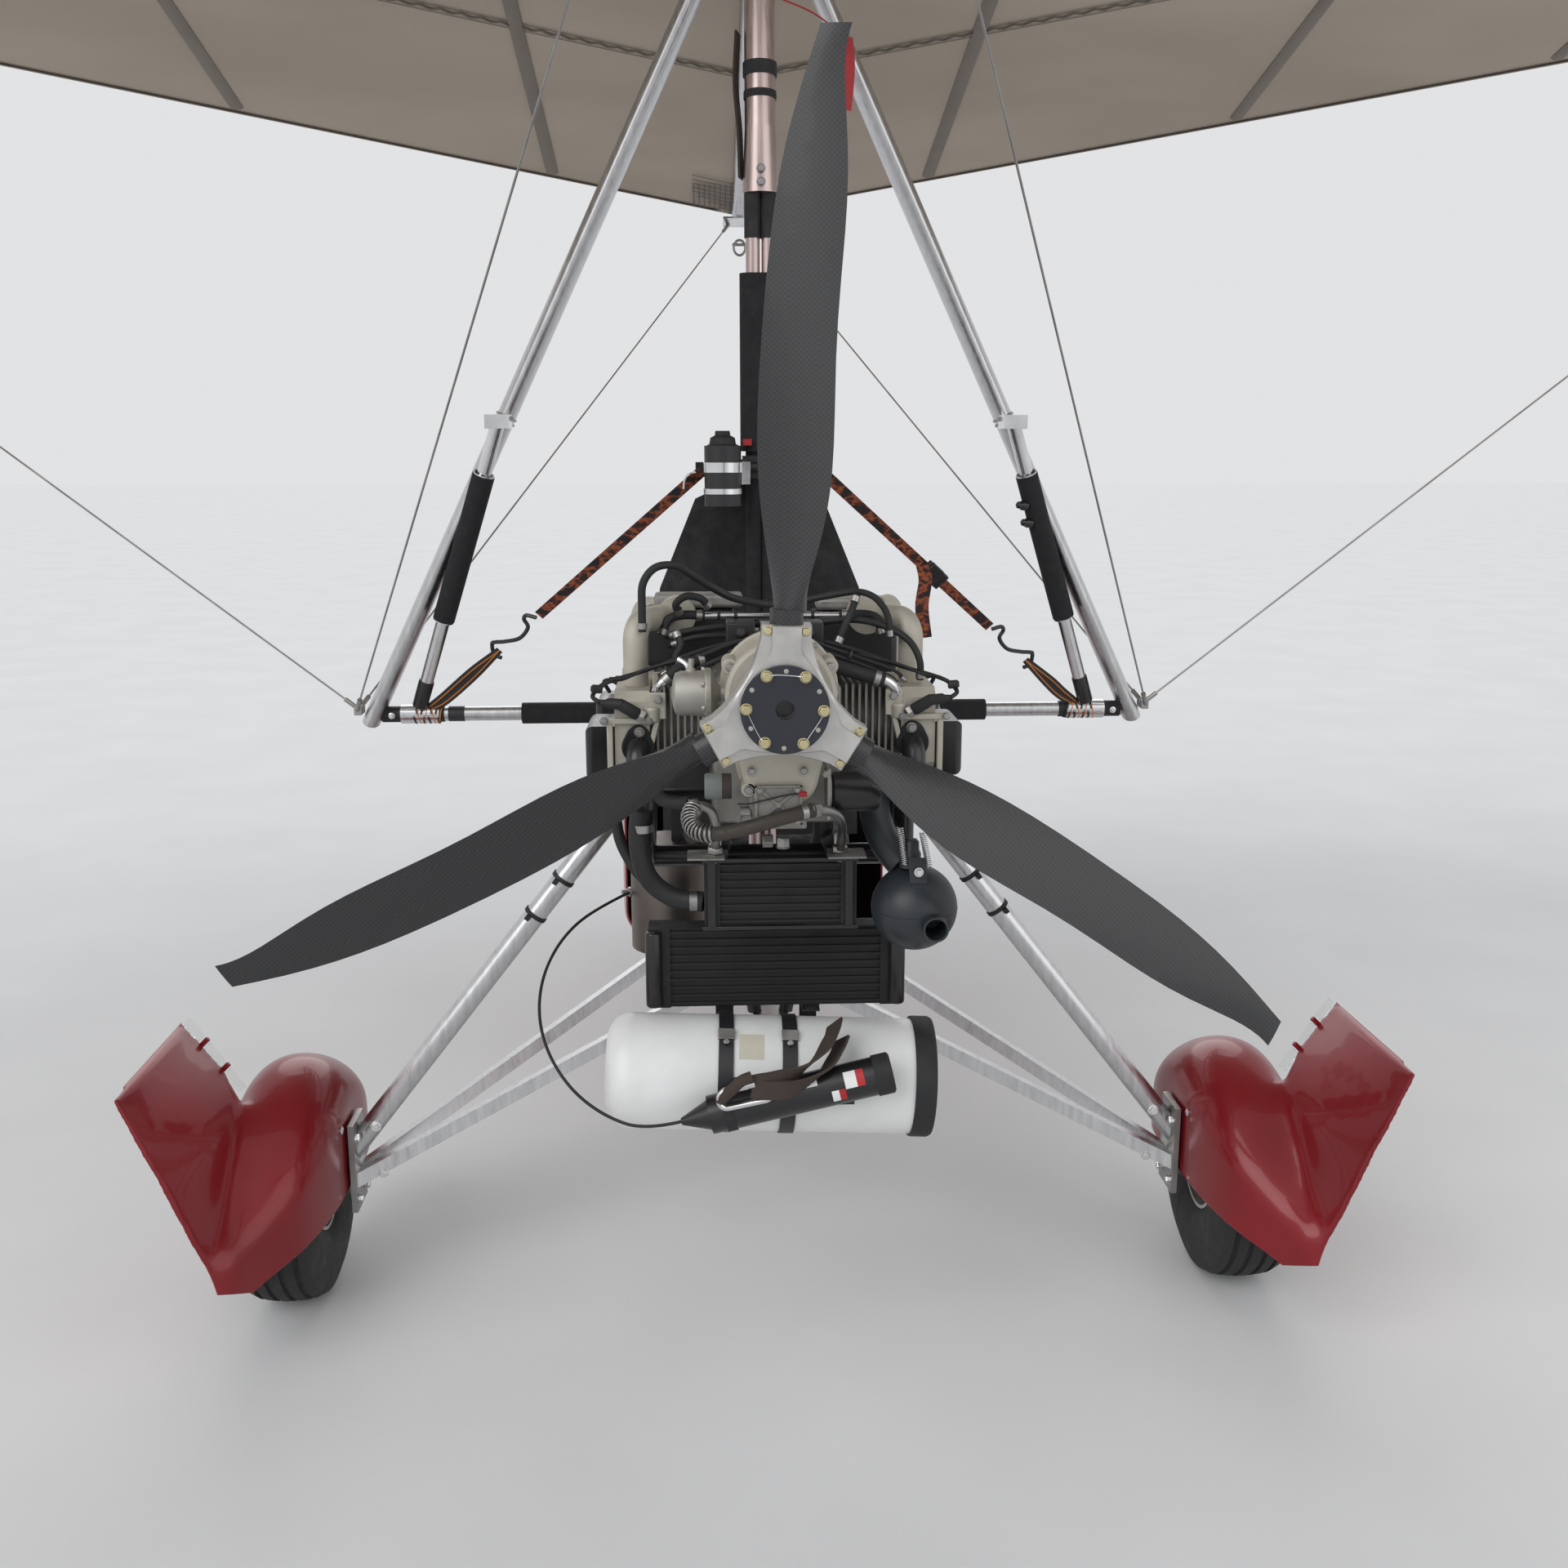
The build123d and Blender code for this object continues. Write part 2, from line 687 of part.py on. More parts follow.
def apex_place(side):
    """Top end of an upright's centre line, on the plate at the keel."""
    frame = keel_frame()
    run = upright_foot[0] - apex_half
    rise = pitch_bolt_height + roll_rise - upright_foot[2]
    lean_share = rise / sqrt(run ** 2 + rise ** 2)
    out = apex_half + seat_gap + lean_share * upright_thick / 2
    local = Vector(side * out, keel_rise - keel_radius - 12, -apex_forward)
    return tuple(frame.from_local_coords(local))


def upright_form(extra):
    """Right-hand streamlined upright, fatter all round by the extra."""
    top = apex_place(1)
    foot = upright_foot
    axis = Vector(*top) - Vector(*foot)
    frame = Plane(origin=beyond(top, foot, extra), x_dir=(0, 1, 0), z_dir=axis)
    section = frame * Ellipse(upright_chord / 2 + extra, upright_thick / 2 + extra)
    return extrude(section, amount=axis.length + 2 * extra, dir=axis.normalized())


def uprights():
    return both_sides(upright_form(0))


def base_bar():
    """Bar across the bottom of the control frame, between the uprights."""
    reach = upright_foot[0]
    long = tube((-reach, upright_foot[1], bar_height), (reach, upright_foot[1], bar_height), bar_radius, bar_wall)
    cut = long - both_sides(upright_form(seat_gap))
    pieces = cut.solids()
    return max(pieces, key=lambda piece: piece.volume)


def grip():
    """Right-hand grip bar from the upright to the base bar, with its foam."""
    axis = Vector(*grip_top) - Vector(*grip_foot)
    core = rod(grip_foot, grip_top, grip_radius)
    start = Vector(*grip_top) - axis * foam_start
    end = Vector(*grip_top) - axis * foam_end
    foam = rod(tuple(start), tuple(end), foam_radius)
    shoe = rod((grip_foot[0] + 40, upright_foot[1], bar_height), (grip_foot[0] - 40, upright_foot[1], bar_height),
               bar_radius + 5)
    clamp = centred_block(grip_top, (46, 60, 26))
    bar_cut = rod((0, upright_foot[1], bar_height), (upright_foot[0], upright_foot[1], bar_height), bar_radius + seat_gap)
    return core + foam + shoe + clamp - bar_cut - upright_form(seat_gap)


# Sail

def leading_edge(span):
    return sail_nose_ahead - leading_sweep * span, sail_nose_height + leading_rise * span


def sail_section(span, drop_back, angle, crest, nose_radius):
    """Closed outline of the sail at one span station, in the fore-and-aft plane."""
    front, height = leading_edge(span)
    front = front - drop_back
    rear = trailing_root_ahead - trailing_sweep * span
    slope = radians(angle)
    chord = (front - rear) / cos(slope)

    def point(along, up):
        ahead = front - along * cos(slope) + up * sin(slope)
        return (span, ahead, height + along * sin(slope) + up * cos(slope))

    rise = crest * chord
    peak = 0.3 * chord
    lower_rear = point(chord, 0)
    lower_front = point(nose_radius, 0)
    tip = point(0, nose_radius)
    upper_front = point(nose_radius, 2 * nose_radius)
    top = point(peak, rise + nose_radius)
    upper_rear = point(chord, trailing_edge_thick)
    edges = [
        Line(lower_rear, lower_front),
        ThreePointArc(lower_front, tip, upper_front),
        ThreePointArc(upper_front, point(0.42 * peak, 0.8 * rise + nose_radius), top),
        ThreePointArc(top, point((peak + chord) / 2, 0.62 * rise + nose_radius / 2), upper_rear),
        Line(upper_rear, lower_rear),
    ]
    return make_face(edges)


def sail_form():
    """Right-hand half of the sail as one closed solid."""
    return loft([sail_section(*row) for row in sail_sections], ruled=True)


def sail_room():
    """Space in the sail's middle for the keel tube, the hang bracket and its plates."""
    outer = hang_block_size[2] / 2 + hang_lug_gap + hang_lug_thick + 4
    front = apex_forward + apex_length / 2 + 20
    keel = Pos(0, keel_rise, (keel_rear - keel_front) / 2) * Cylinder(keel_radius + seat_gap, keel_front + keel_rear + 200)
    pocket = block((-80, -60, -front), (80, keel_rise + keel_radius + 14, outer))
    return keel_frame() * (keel + pocket)


def sail_half():
    return sail_form() - sail_room()


# Rigging

def wire(start, end):
    """Straight stay with a swaged sleeve at each end."""
    line = rod(start, end, wire_radius)
    axis = (Vector(*end) - Vector(*start)).normalized()
    near = rod(start, tuple(Vector(*start) + axis * wire_end_length), wire_end_radius)
    far = rod(tuple(Vector(*end) - axis * wire_end_length), end, wire_end_radius)
    return line + near + far


def wires():
    """Front, rear and side stays of the control frame."""
    corner_out = upright_foot[0] + upright_thick / 2 + 8
    frame = keel_frame()
    nose = tuple(frame.from_local_coords(Vector(30, keel_rise - keel_radius - 4, -keel_front + 20)))
    tail = tuple(frame.from_local_coords(Vector(12, keel_rise - keel_radius - 22 - wire_end_radius, wire_tail_rear)))
    lead_ahead, lead_height = leading_edge(side_wire_span)
    angle = radians(14.0)
    side_top = (side_wire_span, side_wire_ahead, lead_height + (lead_ahead - side_wire_ahead) * tan(angle) + 10)
    stays = [wire((corner_out, upright_foot[1] + offset, bar_height + 12), end)
             for offset, end in ((wire_corner_step, nose), (-wire_corner_step, tail), (0, side_top))]
    width, thick, length = nose_plate_size
    top = keel_rise - keel_radius - seat_gap
    plate_room = frame * block((-width, top - thick - seat_gap, -keel_front - 20), (width, keel_rise, -keel_front + 2 * length))
    tang_room = frame * block((-21, keel_rise - keel_radius - 22 - seat_gap, wire_tail_rear - 60),
                              (21, keel_rise, wire_tail_rear + 60))
    room = plate_room + tang_room + upright_form(seat_gap)
    sail = Pos(0, 0, -seat_gap) * sail_form()
    parts = [max((stay - room - sail).solids(), key=lambda piece: piece.volume) for stay in stays]
    return both_sides(parts[0] + parts[1] + parts[2])


# Propeller

def blade_angles():
    return [prop_lean + step * 360.0 / blade_count for step in range(blade_count)]


def spin(shape, angle):
    """Turn a shape about the propeller's axis, clockwise as seen from behind."""
    return Pos(0, 0, prop_height) * Rot(0, angle, 0) * shape


def blade_section(reach, chord, thick, pitch, offset):
    """Section of a blade: flat towards the rear, arched towards the front."""
    turn = radians(pitch)
    frame = Plane(origin=(0, 0, reach), x_dir=(cos(turn), -sin(turn), 0), z_dir=(0, 0, 1))
    right = chord / 2
    left = -chord / 2
    with BuildSketch(frame) as section:
        with BuildLine():
            ThreePointArc((left, 0), (left + 0.4 * chord, 0.72 * thick), (right, 0))
            ThreePointArc((right, 0), (0, -0.28 * thick), (left, 0))
        make_face()
    return Pos(offset, 0, 0) * section.sketch


def blade():
    """One blade along +Z from the axis, with its round root."""
    body = loft([blade_section(*row) for row in blade_sections])
    root = rod((0, 0, blade_root_start), (0, 0, blade_root_end + 4), blade_root_radius)
    return body + root


def prop_blades():
    blades = [spin(blade(), angle) for angle in blade_angles()]
    return blades[0] + blades[1] + blades[2]


def around_prop(start, end, radius):
    """Cylinder on the propeller's axis between two places ahead."""
    return rod((0, start, prop_height), (0, end, prop_height), radius)


def prop_hub():
    """Clamp with three arms, its flange and the shaft in the gearbox."""
    core = around_prop(-hub_half, hub_half, hub_core_radius)
    arms = []
    roots = []
    for angle in blade_angles():
        arm = block((-hub_arm_width / 2, -hub_half, 0), (hub_arm_width / 2, hub_half, hub_arm_reach))
        arms.append(spin(arm, angle))
        roots.append(spin(rod((0, 0, blade_root_start - seat_gap), (0, 0, 2 * hub_arm_reach),
                              blade_root_radius + seat_gap), angle))
    flange = around_prop(hub_half - 1, hub_flange_front, hub_flange_radius)
    shaft = around_prop(hub_half, hub_shaft_front, hub_shaft_radius)
    bore = around_prop(-2 * hub_half, hub_flange_front - 8, hub_bore_radius)
    return core + arms + flange + shaft - roots - bore


def prop_disc():
    """Front disc with the spinner's ring of holes and the middle hole."""
    disc = around_prop(-hub_half - disc_thick, -hub_half, disc_radius)
    holes = [around_prop(-hub_half - 2 * disc_thick, -hub_half + 1, hub_bore_radius)]
    for step in range(2 * blade_count):
        angle = radians(prop_lean + step * 180.0 / blade_count)
        x = disc_pitch_radius * sin(angle)
        z = prop_height + disc_pitch_radius * cos(angle)
        holes.append(rod((x, -hub_half - 2 * disc_thick, z), (x, -hub_half + 1, z), disc_hole_radius))
    return disc - holes


# Engine

def engine_core():
    """Crankcase with the reduction gearbox on its rear."""
    case = block((-crankcase_half, engine_rear, crankcase_low), (crankcase_half, engine_front, crankcase_high))
    long_edges = case.edges().filter_by(Axis.Y).group_by(Axis.Z)[-1]
    case = chamfer(long_edges, crankcase_chamfer)
    upper = around_prop(gearbox_rear, engine_rear, gearbox_boss_radius)
    lower = rod((0, gearbox_rear, crank_height - 30), (0, engine_rear, crank_height - 30), gearbox_low_radius)
    nose = around_prop(gearbox_nose_rear, gearbox_rear + 1, gearbox_nose_radius)
    bore = around_prop(gearbox_nose_rear - 1, hub_shaft_front + 2, hub_shaft_radius + running_gap)
    return case + upper + lower + nose - bore


def barrel_fins():
    """One finned cylinder along +X from the crankcase's side."""
    length = barrel_out - crankcase_half
    core = Rot(0, 90, 0) * Cylinder(barrel_radius, length, align=FROM_START)
    depth, height = fin_size
    step = (length - fin_thick) / (fin_count + 1)
    fins = [Pos((index + 1) * step, 0, 0) * Box(fin_thick, depth, height, align=(Align.MIN, Align.CENTER, Align.CENTER))
            for index in range(fin_count)]
    return Pos(crankcase_half, 0, crank_height) * (core + fins)


def on_cylinders(shape):
    """Copies of a right-hand piece at the four cylinders."""
    copies = []
    for side, ahead, turn in cylinder_places:
        placed = Pos(0, ahead, 0) * shape
        copies.append(placed if side > 0 else mirror(placed, about=Plane.YZ))
    return copies[0] + copies[1:]


def engine_cylinders():
    return on_cylinders(barrel_fins())


def engine_heads():
    depth, height = head_size
    low = (barrel_out, -depth / 2, crank_height - height / 2 - 12)
    high = (head_out, depth / 2, crank_height + height / 2 - 12)
    head = block(low, high)
    return on_cylinders(chamfer(head.edges().filter_by(Axis.X), 14))


def valve_covers():
    depth, height = cover_size
    middle = crank_height - cover_drop
    cover = block((head_out, -depth / 2, middle - height / 2), (cover_out, depth / 2, middle + height / 2))
    return on_cylinders(fillet(cover.faces().sort_by(Axis.X)[-1].edges(), 12))


def swept_pipe(points, bend, radius):
    """Pipe along straight runs with equal bends."""
    path = FilletPolyline(*points, radius=bend)
    section = Plane(origin=path @ 0, z_dir=path % 0) * Circle(radius)
    return sweep(section, path=path)


def intake_side(side):
    """Carburettor of one side with the two elbows from its heads."""
    heads = [ahead for sign, ahead, turn in cylinder_places if sign == side]
    head_top = crank_height + head_size[1] / 2 - 12
    body = rod((side * intake_inboard, carb_ahead - carb_length / 2, intake_top),
               (side * intake_inboard, carb_ahead + carb_length / 2, intake_top), carb_radius)
    for ahead in heads:
        inward = carb_ahead - 20 if ahead < carb_ahead else carb_ahead + 20
        points = [(side * intake_out, ahead, head_top + seat_gap), (side * intake_out, ahead, intake_top),
                  (side * (intake_inboard + 10), inward, intake_top)]
        body = body + swept_pipe(points, 30, intake_radius)
    return body


def intake():
    return intake_side(-1) + intake_side(1)


def exhaust():
    """Four pipes under the heads, gathered by a cross pipe that leads to the silencer."""
    head_low = crank_height - head_size[1] / 2 - 12
    cross = rod((-exhaust_out, exhaust_cross_ahead, exhaust_low), (exhaust_out, exhaust_cross_ahead, exhaust_low),
                exhaust_radius)
    flange = Box(exhaust_flange, exhaust_flange, 8, align=(Align.CENTER, Align.CENTER, Align.MAX))
    shape = cross
    for side in (-1, 1):
        shape = shape + Pos(side * exhaust_out, exhaust_cross_ahead, exhaust_low) * Sphere(1.2 * exhaust_radius)
    for side, ahead, turn in cylinder_places:
        x = side * exhaust_out
        top = head_low - seat_gap
        route = [(x, ahead, top), (x, ahead, turn), (x, exhaust_cross_ahead, exhaust_low)]
        bend = min(exhaust_bend, 0.8 * abs(exhaust_cross_ahead - ahead))
        shape = shape + swept_pipe(route, bend, exhaust_radius) + Pos(x, ahead, top) * flange
    x, y, z = silencer_middle
    shape = shape + rod((exhaust_out, exhaust_cross_ahead, exhaust_low), (x, y, z), exhaust_radius)
    return shape - Pos(x, y, z) * Sphere(silencer_radius + seat_gap)


def silencer():
    """Ball silencer with its rear outlet."""
    x, y, z = silencer_middle
    ball = Pos(x, y, z) * Sphere(silencer_radius)
    outlet_end = (x + 22, y - silencer_radius - 16, z - 12)
    outlet = rod((x + 22, y, z - 12), outlet_end, outlet_radius)
    bore = rod((x + 22, y - 20, z - 12), (x + 22, y - 2 * silencer_radius, z - 12), outlet_radius - 3)
    return ball + outlet - bore


def engine_mount():
    """Welded frame that carries the engine between the mast, the beam and the struts."""
    top_x, top_y, top_z = strut_top
    plate_thick, plate_depth, plate_height = mount_plate
    plate = block((top_x - plate_thick, top_y - plate_depth / 2, top_z - plate_height / 2),
                  (top_x, top_y + plate_depth / 2, top_z + plate_height / 2))
    cross = rod((0, top_y, mount_height), (top_x - 1, top_y, mount_height), mount_tube_radius)
    mast_face = mast_ahead - mast_tube_radius - seat_gap
    bearer = rod((bearer_half, bearer_rear, mount_height), (bearer_half, mast_face - 6, mount_height), mount_tube_radius)
    beam_top = beam_height + beam_depth / 2
    down = rod((bearer_half, 400, mount_height), (beam_width / 2 - 8, 480, beam_top - 30), down_tube_radius)
    rubber_low = rod((bearer_half - 10, 260, mount_height), (bearer_half - 10, 260, crankcase_low - seat_gap), rubber_radius)
    rubber_high = rod((bearer_half - 10, 660, mount_height), (bearer_half - 10, 660, crankcase_low - seat_gap), rubber_radius)
    half = both_sides(plate + cross + bearer + down + rubber_low + rubber_high)
    tie = block((-bearer_half - 10, mast_face - 12, mount_height - 30), (bearer_half + 10, mast_face, mount_height + 30))
    x, y, z = cooler_middle
    hanger_low = z + cooler_size[2] / 2 + seat_gap
    hanger = block((bearer_half - 10, y - 12, hanger_low), (bearer_half + 10, y + 20, mount_height))
    tank_x, tank_y = oil_tank_middle
    tank_arm = block((tank_x + 2, tank_y - 14, oil_tank_high + seat_gap), (tank_x + 22, tank_y + 14, mount_height))
    beam_room = block((-beam_width, 0, 0), (beam_width, 3000, beam_top))
    return half + tie + both_sides(hanger) + tank_arm - beam_room


# Coolers, tanks and canister

def cooler(middle, size, rows, bar_end):
    """Cooler block with end tanks and rows of tubes proud of its core."""
    x, y, z = middle
    width, depth, height = size
    core = Box(width, depth - 2 * core_recess, height)
    tank = Box(bar_end, depth, height)
    shape = core + Pos((bar_end - width) / 2, 0, 0) * tank + Pos((width - bar_end) / 2, 0, 0) * tank
    step = height / rows
    bars = [Pos(0, 0, (index + 0.5) * step - height / 2) * Box(width, depth - 2, row_thick) for index in range(rows)]
    return Pos(x, y, z) * (shape + bars)


def radiator():
    shape = cooler(radiator_middle, radiator_size, radiator_rows, 34)
    low = radiator_middle[2] - radiator_size[2] / 2
    rack_top = low - radiator_foot_length
    for x in radiator_feet:
        shape = shape + rod((x, radiator_middle[1], rack_top), (x, radiator_middle[1], low + 4), radiator_foot_radius)
    return shape


def oil_tank():
    """Round tank with a domed lid and the cable's clip on its side."""
    x, y = oil_tank_middle
    body = Pos(x, y, oil_tank_low) * Cylinder(oil_tank_radius, oil_tank_high - oil_tank_low, align=FROM_START)
    edge = body.faces().sort_by(Axis.Z)[-1].edges()
    return fillet(edge, 14)


def canister_frame():
    """Plane at the canister's middle, its z along the canister to the right."""
    tilt = radians(canister_tilt)
    return Plane(origin=canister_middle, x_dir=(0, 1, 0), z_dir=(cos(tilt), 0, -sin(tilt)))


def canister():
    """Rescue canister: a cylinder with a domed left end and a capped right end."""
    half = canister_length / 2
    body = Pos(0, 0, -half) * Cylinder(canister_radius, canister_length, align=FROM_START)
    body = fillet(body.faces().sort_by(Axis.Z)[0].edges(), canister_dome)
    return canister_frame() * body


def canister_rack():
    """Cross tube on the keel beam with two bands round the canister and the radiator's shelves."""
    front = beam_tail
    bands = []
    frame = canister_frame()
    for place in strap_places:
        outer = Cylinder(canister_radius + strap_thick, strap_width)
        inner = Cylinder(canister_radius + seat_gap, 2 * strap_width)
        bands.append(frame * Pos(0, 0, place - canister_middle[0]) * (outer - inner))
    low = (-rack_half, front - rack_size, canister_middle[2] - rack_size / 2)
    high = (rack_half, front - seat_gap, canister_middle[2] + rack_size / 2)
    room = frame * Cylinder(canister_radius + seat_gap, canister_length + 100)
    cross = block(low, high)
    shelf_top = radiator_middle[2] - radiator_size[2] / 2 - radiator_foot_length - seat_gap
    shelves = [block((x - 14, radiator_middle[1] - 14, shelf_top - 4), (x + 14, front - seat_gap, shelf_top))
               for x in radiator_feet]
    webs = [block((x - 14, front - 6 - seat_gap, low[2]), (x + 14, front - seat_gap, shelf_top)) for x in radiator_feet]
    return (cross + shelves + webs - room) + bands


def rocket_direction():
    return (Vector(*rocket_end) - Vector(*rocket_start)).normalized()


def rocket_tail():
    """Face that the cable leaves, at the end of the taper."""
    return tuple(Vector(*rocket_start) - rocket_direction() * rocket_taper)


def rocket_tube():
    """Rocket tube with its tapered end and two saddles on the canister."""
    along = rocket_direction()
    body = rod(rocket_start, rocket_end, rocket_radius)
    taper = Plane(origin=rocket_tail(), z_dir=along) * Cone(cable_end_radius, rocket_radius * 0.8, rocket_taper,
                                                          align=FROM_START)
    saddles = [centred_block((x, (rocket_start[1] + canister_middle[1] - canister_radius) / 2 + 8, 545),
                             (24, 40, 34)) for x in (-60.0, 100.0)]
    room = canister_frame() * Cylinder(canister_radius + seat_gap, canister_length + 100)
    straps = [canister_frame() * Pos(0, 0, place - canister_middle[0]) * Cylinder(
        canister_radius + strap_thick + seat_gap, strap_width + 2) for place in strap_places]
    return body + taper + saddles - room - straps


# Activation cable: hand-chosen route from the rocket to the oil tank

cable_first_run = 57.0
cable_route = (
    (-266.0, 122.0, 508.0),
    (-320.0, 160.0, 536.0),
    (-360.0, 212.0, 578.0),
    (-378.0, 270.0, 622.0),
    (-373.0, 330.0, 668.0),
    (-345.0, 395.0, 708.0),
    (-298.0, 455.0, 734.0),
)


def cable_end():
    """Point on the tank's side where the cable goes in."""
    x, y = oil_tank_middle
    return (x - oil_tank_radius - seat_gap, y - 6, 738.0)


def cable_points():
    tail = rocket_tail()
    return [tail, beyond(rocket_end, tail, cable_first_run), *cable_route, cable_end()]


def cable_radii(points):
    """Largest tangent arc that each corner's two runs allow."""
    radii = []
    for before, corner, after in zip(points, points[1:], points[2:]):
        into = Vector(*corner) - Vector(*before)
        out = Vector(*after) - Vector(*corner)
        half_turn = radians(into.get_angle(out)) / 2
        radii.append(0.45 * min(into.length, out.length) / tan(half_turn))
    return radii


def activation_cable():
    """Pull cable of the rescue system, held at both ends."""
    points = cable_points()
    radii = cable_radii(points)
    print("cable bend radii", [round(radius) for radius in radii])
    path = FilletPolyline(*points, radius=radii)
    section = Plane(origin=path @ 0, z_dir=path % 0) * Circle(cable_radius)
    shape = sweep(section, path=path)
    print("cable length", round(path.length), "volume share", round(shape.volume / (pi * cable_radius ** 2 * path.length), 4))
    tank = Pos(*oil_tank_middle, oil_tank_low) * Cylinder(oil_tank_radius, 400, align=FROM_START)
    return shape - tank


# Cockpit

def pod_form(inset):
    """Pod as a solid, smaller all round by the inset."""
    faces = []
    for ahead, half, low, high, radius in pod_sections:
        place = ahead
        if ahead == pod_sections[-1][0]:
            place = ahead - inset
        faces.append(rounded_section(place, inset - half, half - inset, low + inset, high - inset, radius - inset))
    return loft(faces)


def pod():
    """Open cockpit pod: a shell with no rear wall and the cockpit cut from its top."""
    rear = pod_sections[0][0]
    shell = pod_form(0) - pod_form(pod_wall)
    rear_cut = block((-500, rear - 50, 0), (500, rear + 6, 1200))
    with BuildSketch(Plane.YZ) as side:
        Polygon((rear - 10, cockpit_rim_rear), (cockpit_front - 120, cockpit_rim_front), (cockpit_front, 1200),
                (rear - 10, 1200), align=None)
    cockpit = extrude(side.sketch, amount=500, both=True)
    head = steer_frame() * Cylinder(head_tube_radius + seat_gap, 4 * head_tube_high)
    return shell - rear_cut - cockpit - head


def instrument_panel():
    """Bulkhead across the pod that carries the instruments."""
    room = block((-400, panel_ahead, panel_low), (400, panel_ahead + panel_thick, 1200))
    return pod_form(pod_wall + seat_gap) & room


def windscreen():
    """Clear screen bent round the front of the cockpit, raked back."""
    rake = radians(screen_rake)
    base = screen_base_ahead
    cowl_top = pod_sections[2][3]
    with BuildSketch(Plane.XY.offset(cowl_top - screen_base_drop)) as outline:
        with BuildLine():
            outer = screen_radius
            inner = screen_radius - screen_thick
            swing = radians(screen_half_angle)
            left = (-outer * sin(swing), base - outer + outer * cos(swing))
            right = (outer * sin(swing), base - outer + outer * cos(swing))
            inner_left = (-inner * sin(swing), base - outer + inner * cos(swing))
            inner_right = (inner * sin(swing), base - outer + inner * cos(swing))
            ThreePointArc(left, (0, base), right)
            Line(right, inner_right)
            ThreePointArc(inner_right, (0, base - screen_thick), inner_left)
            Line(inner_left, left)
        make_face()
    height = screen_base_drop + screen_rise
    sheet = extrude(outline.sketch, amount=height / cos(rake), dir=(0, -sin(rake), cos(rake)))
    return max((sheet - pod_form(-seat_gap)).solids(), key=lambda piece: piece.center().Z)


def seat_block(size, middle_ahead, low, radius):
    width, depth, height = size
    shape = block((-width / 2, middle_ahead - depth / 2, low), (width / 2, middle_ahead + depth / 2, low + height))
    return fillet(shape.edges().filter_by(Axis.Z), radius)


def fuel_tank():
    low = beam_height + beam_depth / 2 + seat_gap
    return seat_block(tank_box, tank_ahead, low, 30)


def seat_rear_base():
    low = beam_height + beam_depth / 2 + tank_box[2] + 2 * seat_gap
    return seat_block(rear_cushion, rear_cushion_ahead, low, 40)


def seat_rear_back():
    """Rear backrest: straight sides up to the shoulders, then a narrowing top."""
    half = rear_back_width / 2
    top_half = rear_back_top_width / 2
    with BuildSketch(Plane.XZ) as outline:
        with BuildLine():
            Line((-half, rear_back_low), (half, rear_back_low))
            Line((half, rear_back_low), (half, rear_back_shoulder))
            Line((half, rear_back_shoulder), (top_half, rear_back_top - 40))
            ThreePointArc((top_half, rear_back_top - 40), (0, rear_back_top), (-top_half, rear_back_top - 40))
            Line((-top_half, rear_back_top - 40), (-half, rear_back_shoulder))
            Line((-half, rear_back_shoulder), (-half, rear_back_low))
        make_face()
    return Pos(0, rear_back_ahead, 0) * extrude(outline.sketch, amount=-rear_back_thick)


def seat_front_base():
    low = beam_height + beam_depth / 2 + seat_gap
    return seat_block(front_cushion, front_cushion_ahead, low, 50)


def seat_front_back():
    low = beam_height + beam_depth / 2 + seat_gap
    return seat_block(front_back, front_back_ahead, low, 18)


# Assembly

def build_nodes():
    tyre_right, rim_right = main_wheel(1)
    tyre_left, rim_left = main_wheel(-1)
    tyre_nose, rim_nose = nose_wheel()
    sail = sail_half()
    return {
        "keel_beam": keel_beam(),
        "mast_lower": mast_lower(),
        "mast_upper": mast_upper(),
        "mast_pad": mast_pad(),
        "mast_bracket": mast_bracket(),
        "engine_mount": engine_mount(),
        "gear_struts": both_sides(gear_strut()),
        "wishbones": both_sides(wishbone()),
        "stub_axles": both_sides(stub_axle()),
        "spats": both_sides(spat()),
        "pod": pod(),
        "windscreen": windscreen(),
        "instrument_panel": instrument_panel(),
        "fuel_tank": fuel_tank(),
        "seat_rear_base": seat_rear_base(),
        "seat_rear_back": seat_rear_back(),
        "seat_front_base": seat_front_base(),
        "seat_front_back": seat_front_back(),
        "engine_core": engine_core(),
        "engine_cylinders": engine_cylinders(),
        "engine_heads": engine_heads(),
        "valve_covers": valve_covers(),
        "intake": intake(),
        "exhaust": exhaust(),
        "silencer": silencer(),
        "oil_cooler": cooler(cooler_middle, cooler_size, cooler_rows, 24),
        "radiator": radiator(),
        "oil_tank": oil_tank(),
        "canister": canister(),
        "canister_rack": canister_rack(),
        "rocket_tube": rocket_tube(),
        "activation_cable": activation_cable(),
        "prop_hub": prop_hub(),
        "prop_disc": prop_disc(),
        "prop_blades": prop_blades(),
        "tyre_left": tyre_left,
        "rim_left": rim_left,
        "tyre_right": tyre_right,
        "rim_right": rim_right,
        "nose_fork": nose_fork(),
        "nose_guard": nose_guard(),
        "tyre_nose": tyre_nose,
        "rim_nose": rim_nose,
        "hang_block": hang_block(),
        "hang_bracket": hang_bracket(),
        "keel_tube": keel_tube(),
        "nose_plate": nose_plate(),
        "uprights": uprights(),
        "base_bar": base_bar(),
        "grips": both_sides(grip()),
        "sail_right": sail,
        "sail_left": mirror(sail, about=Plane.YZ),
        "wires": wires(),
    }


def place_on_frame(shape):
    return Pos(0, -propeller_behind_origin, 0) * shape


os.makedirs("parts", exist_ok=True)
for name, shape in build_nodes().items():
    export_step(place_on_frame(shape), f"parts/{name}.step")
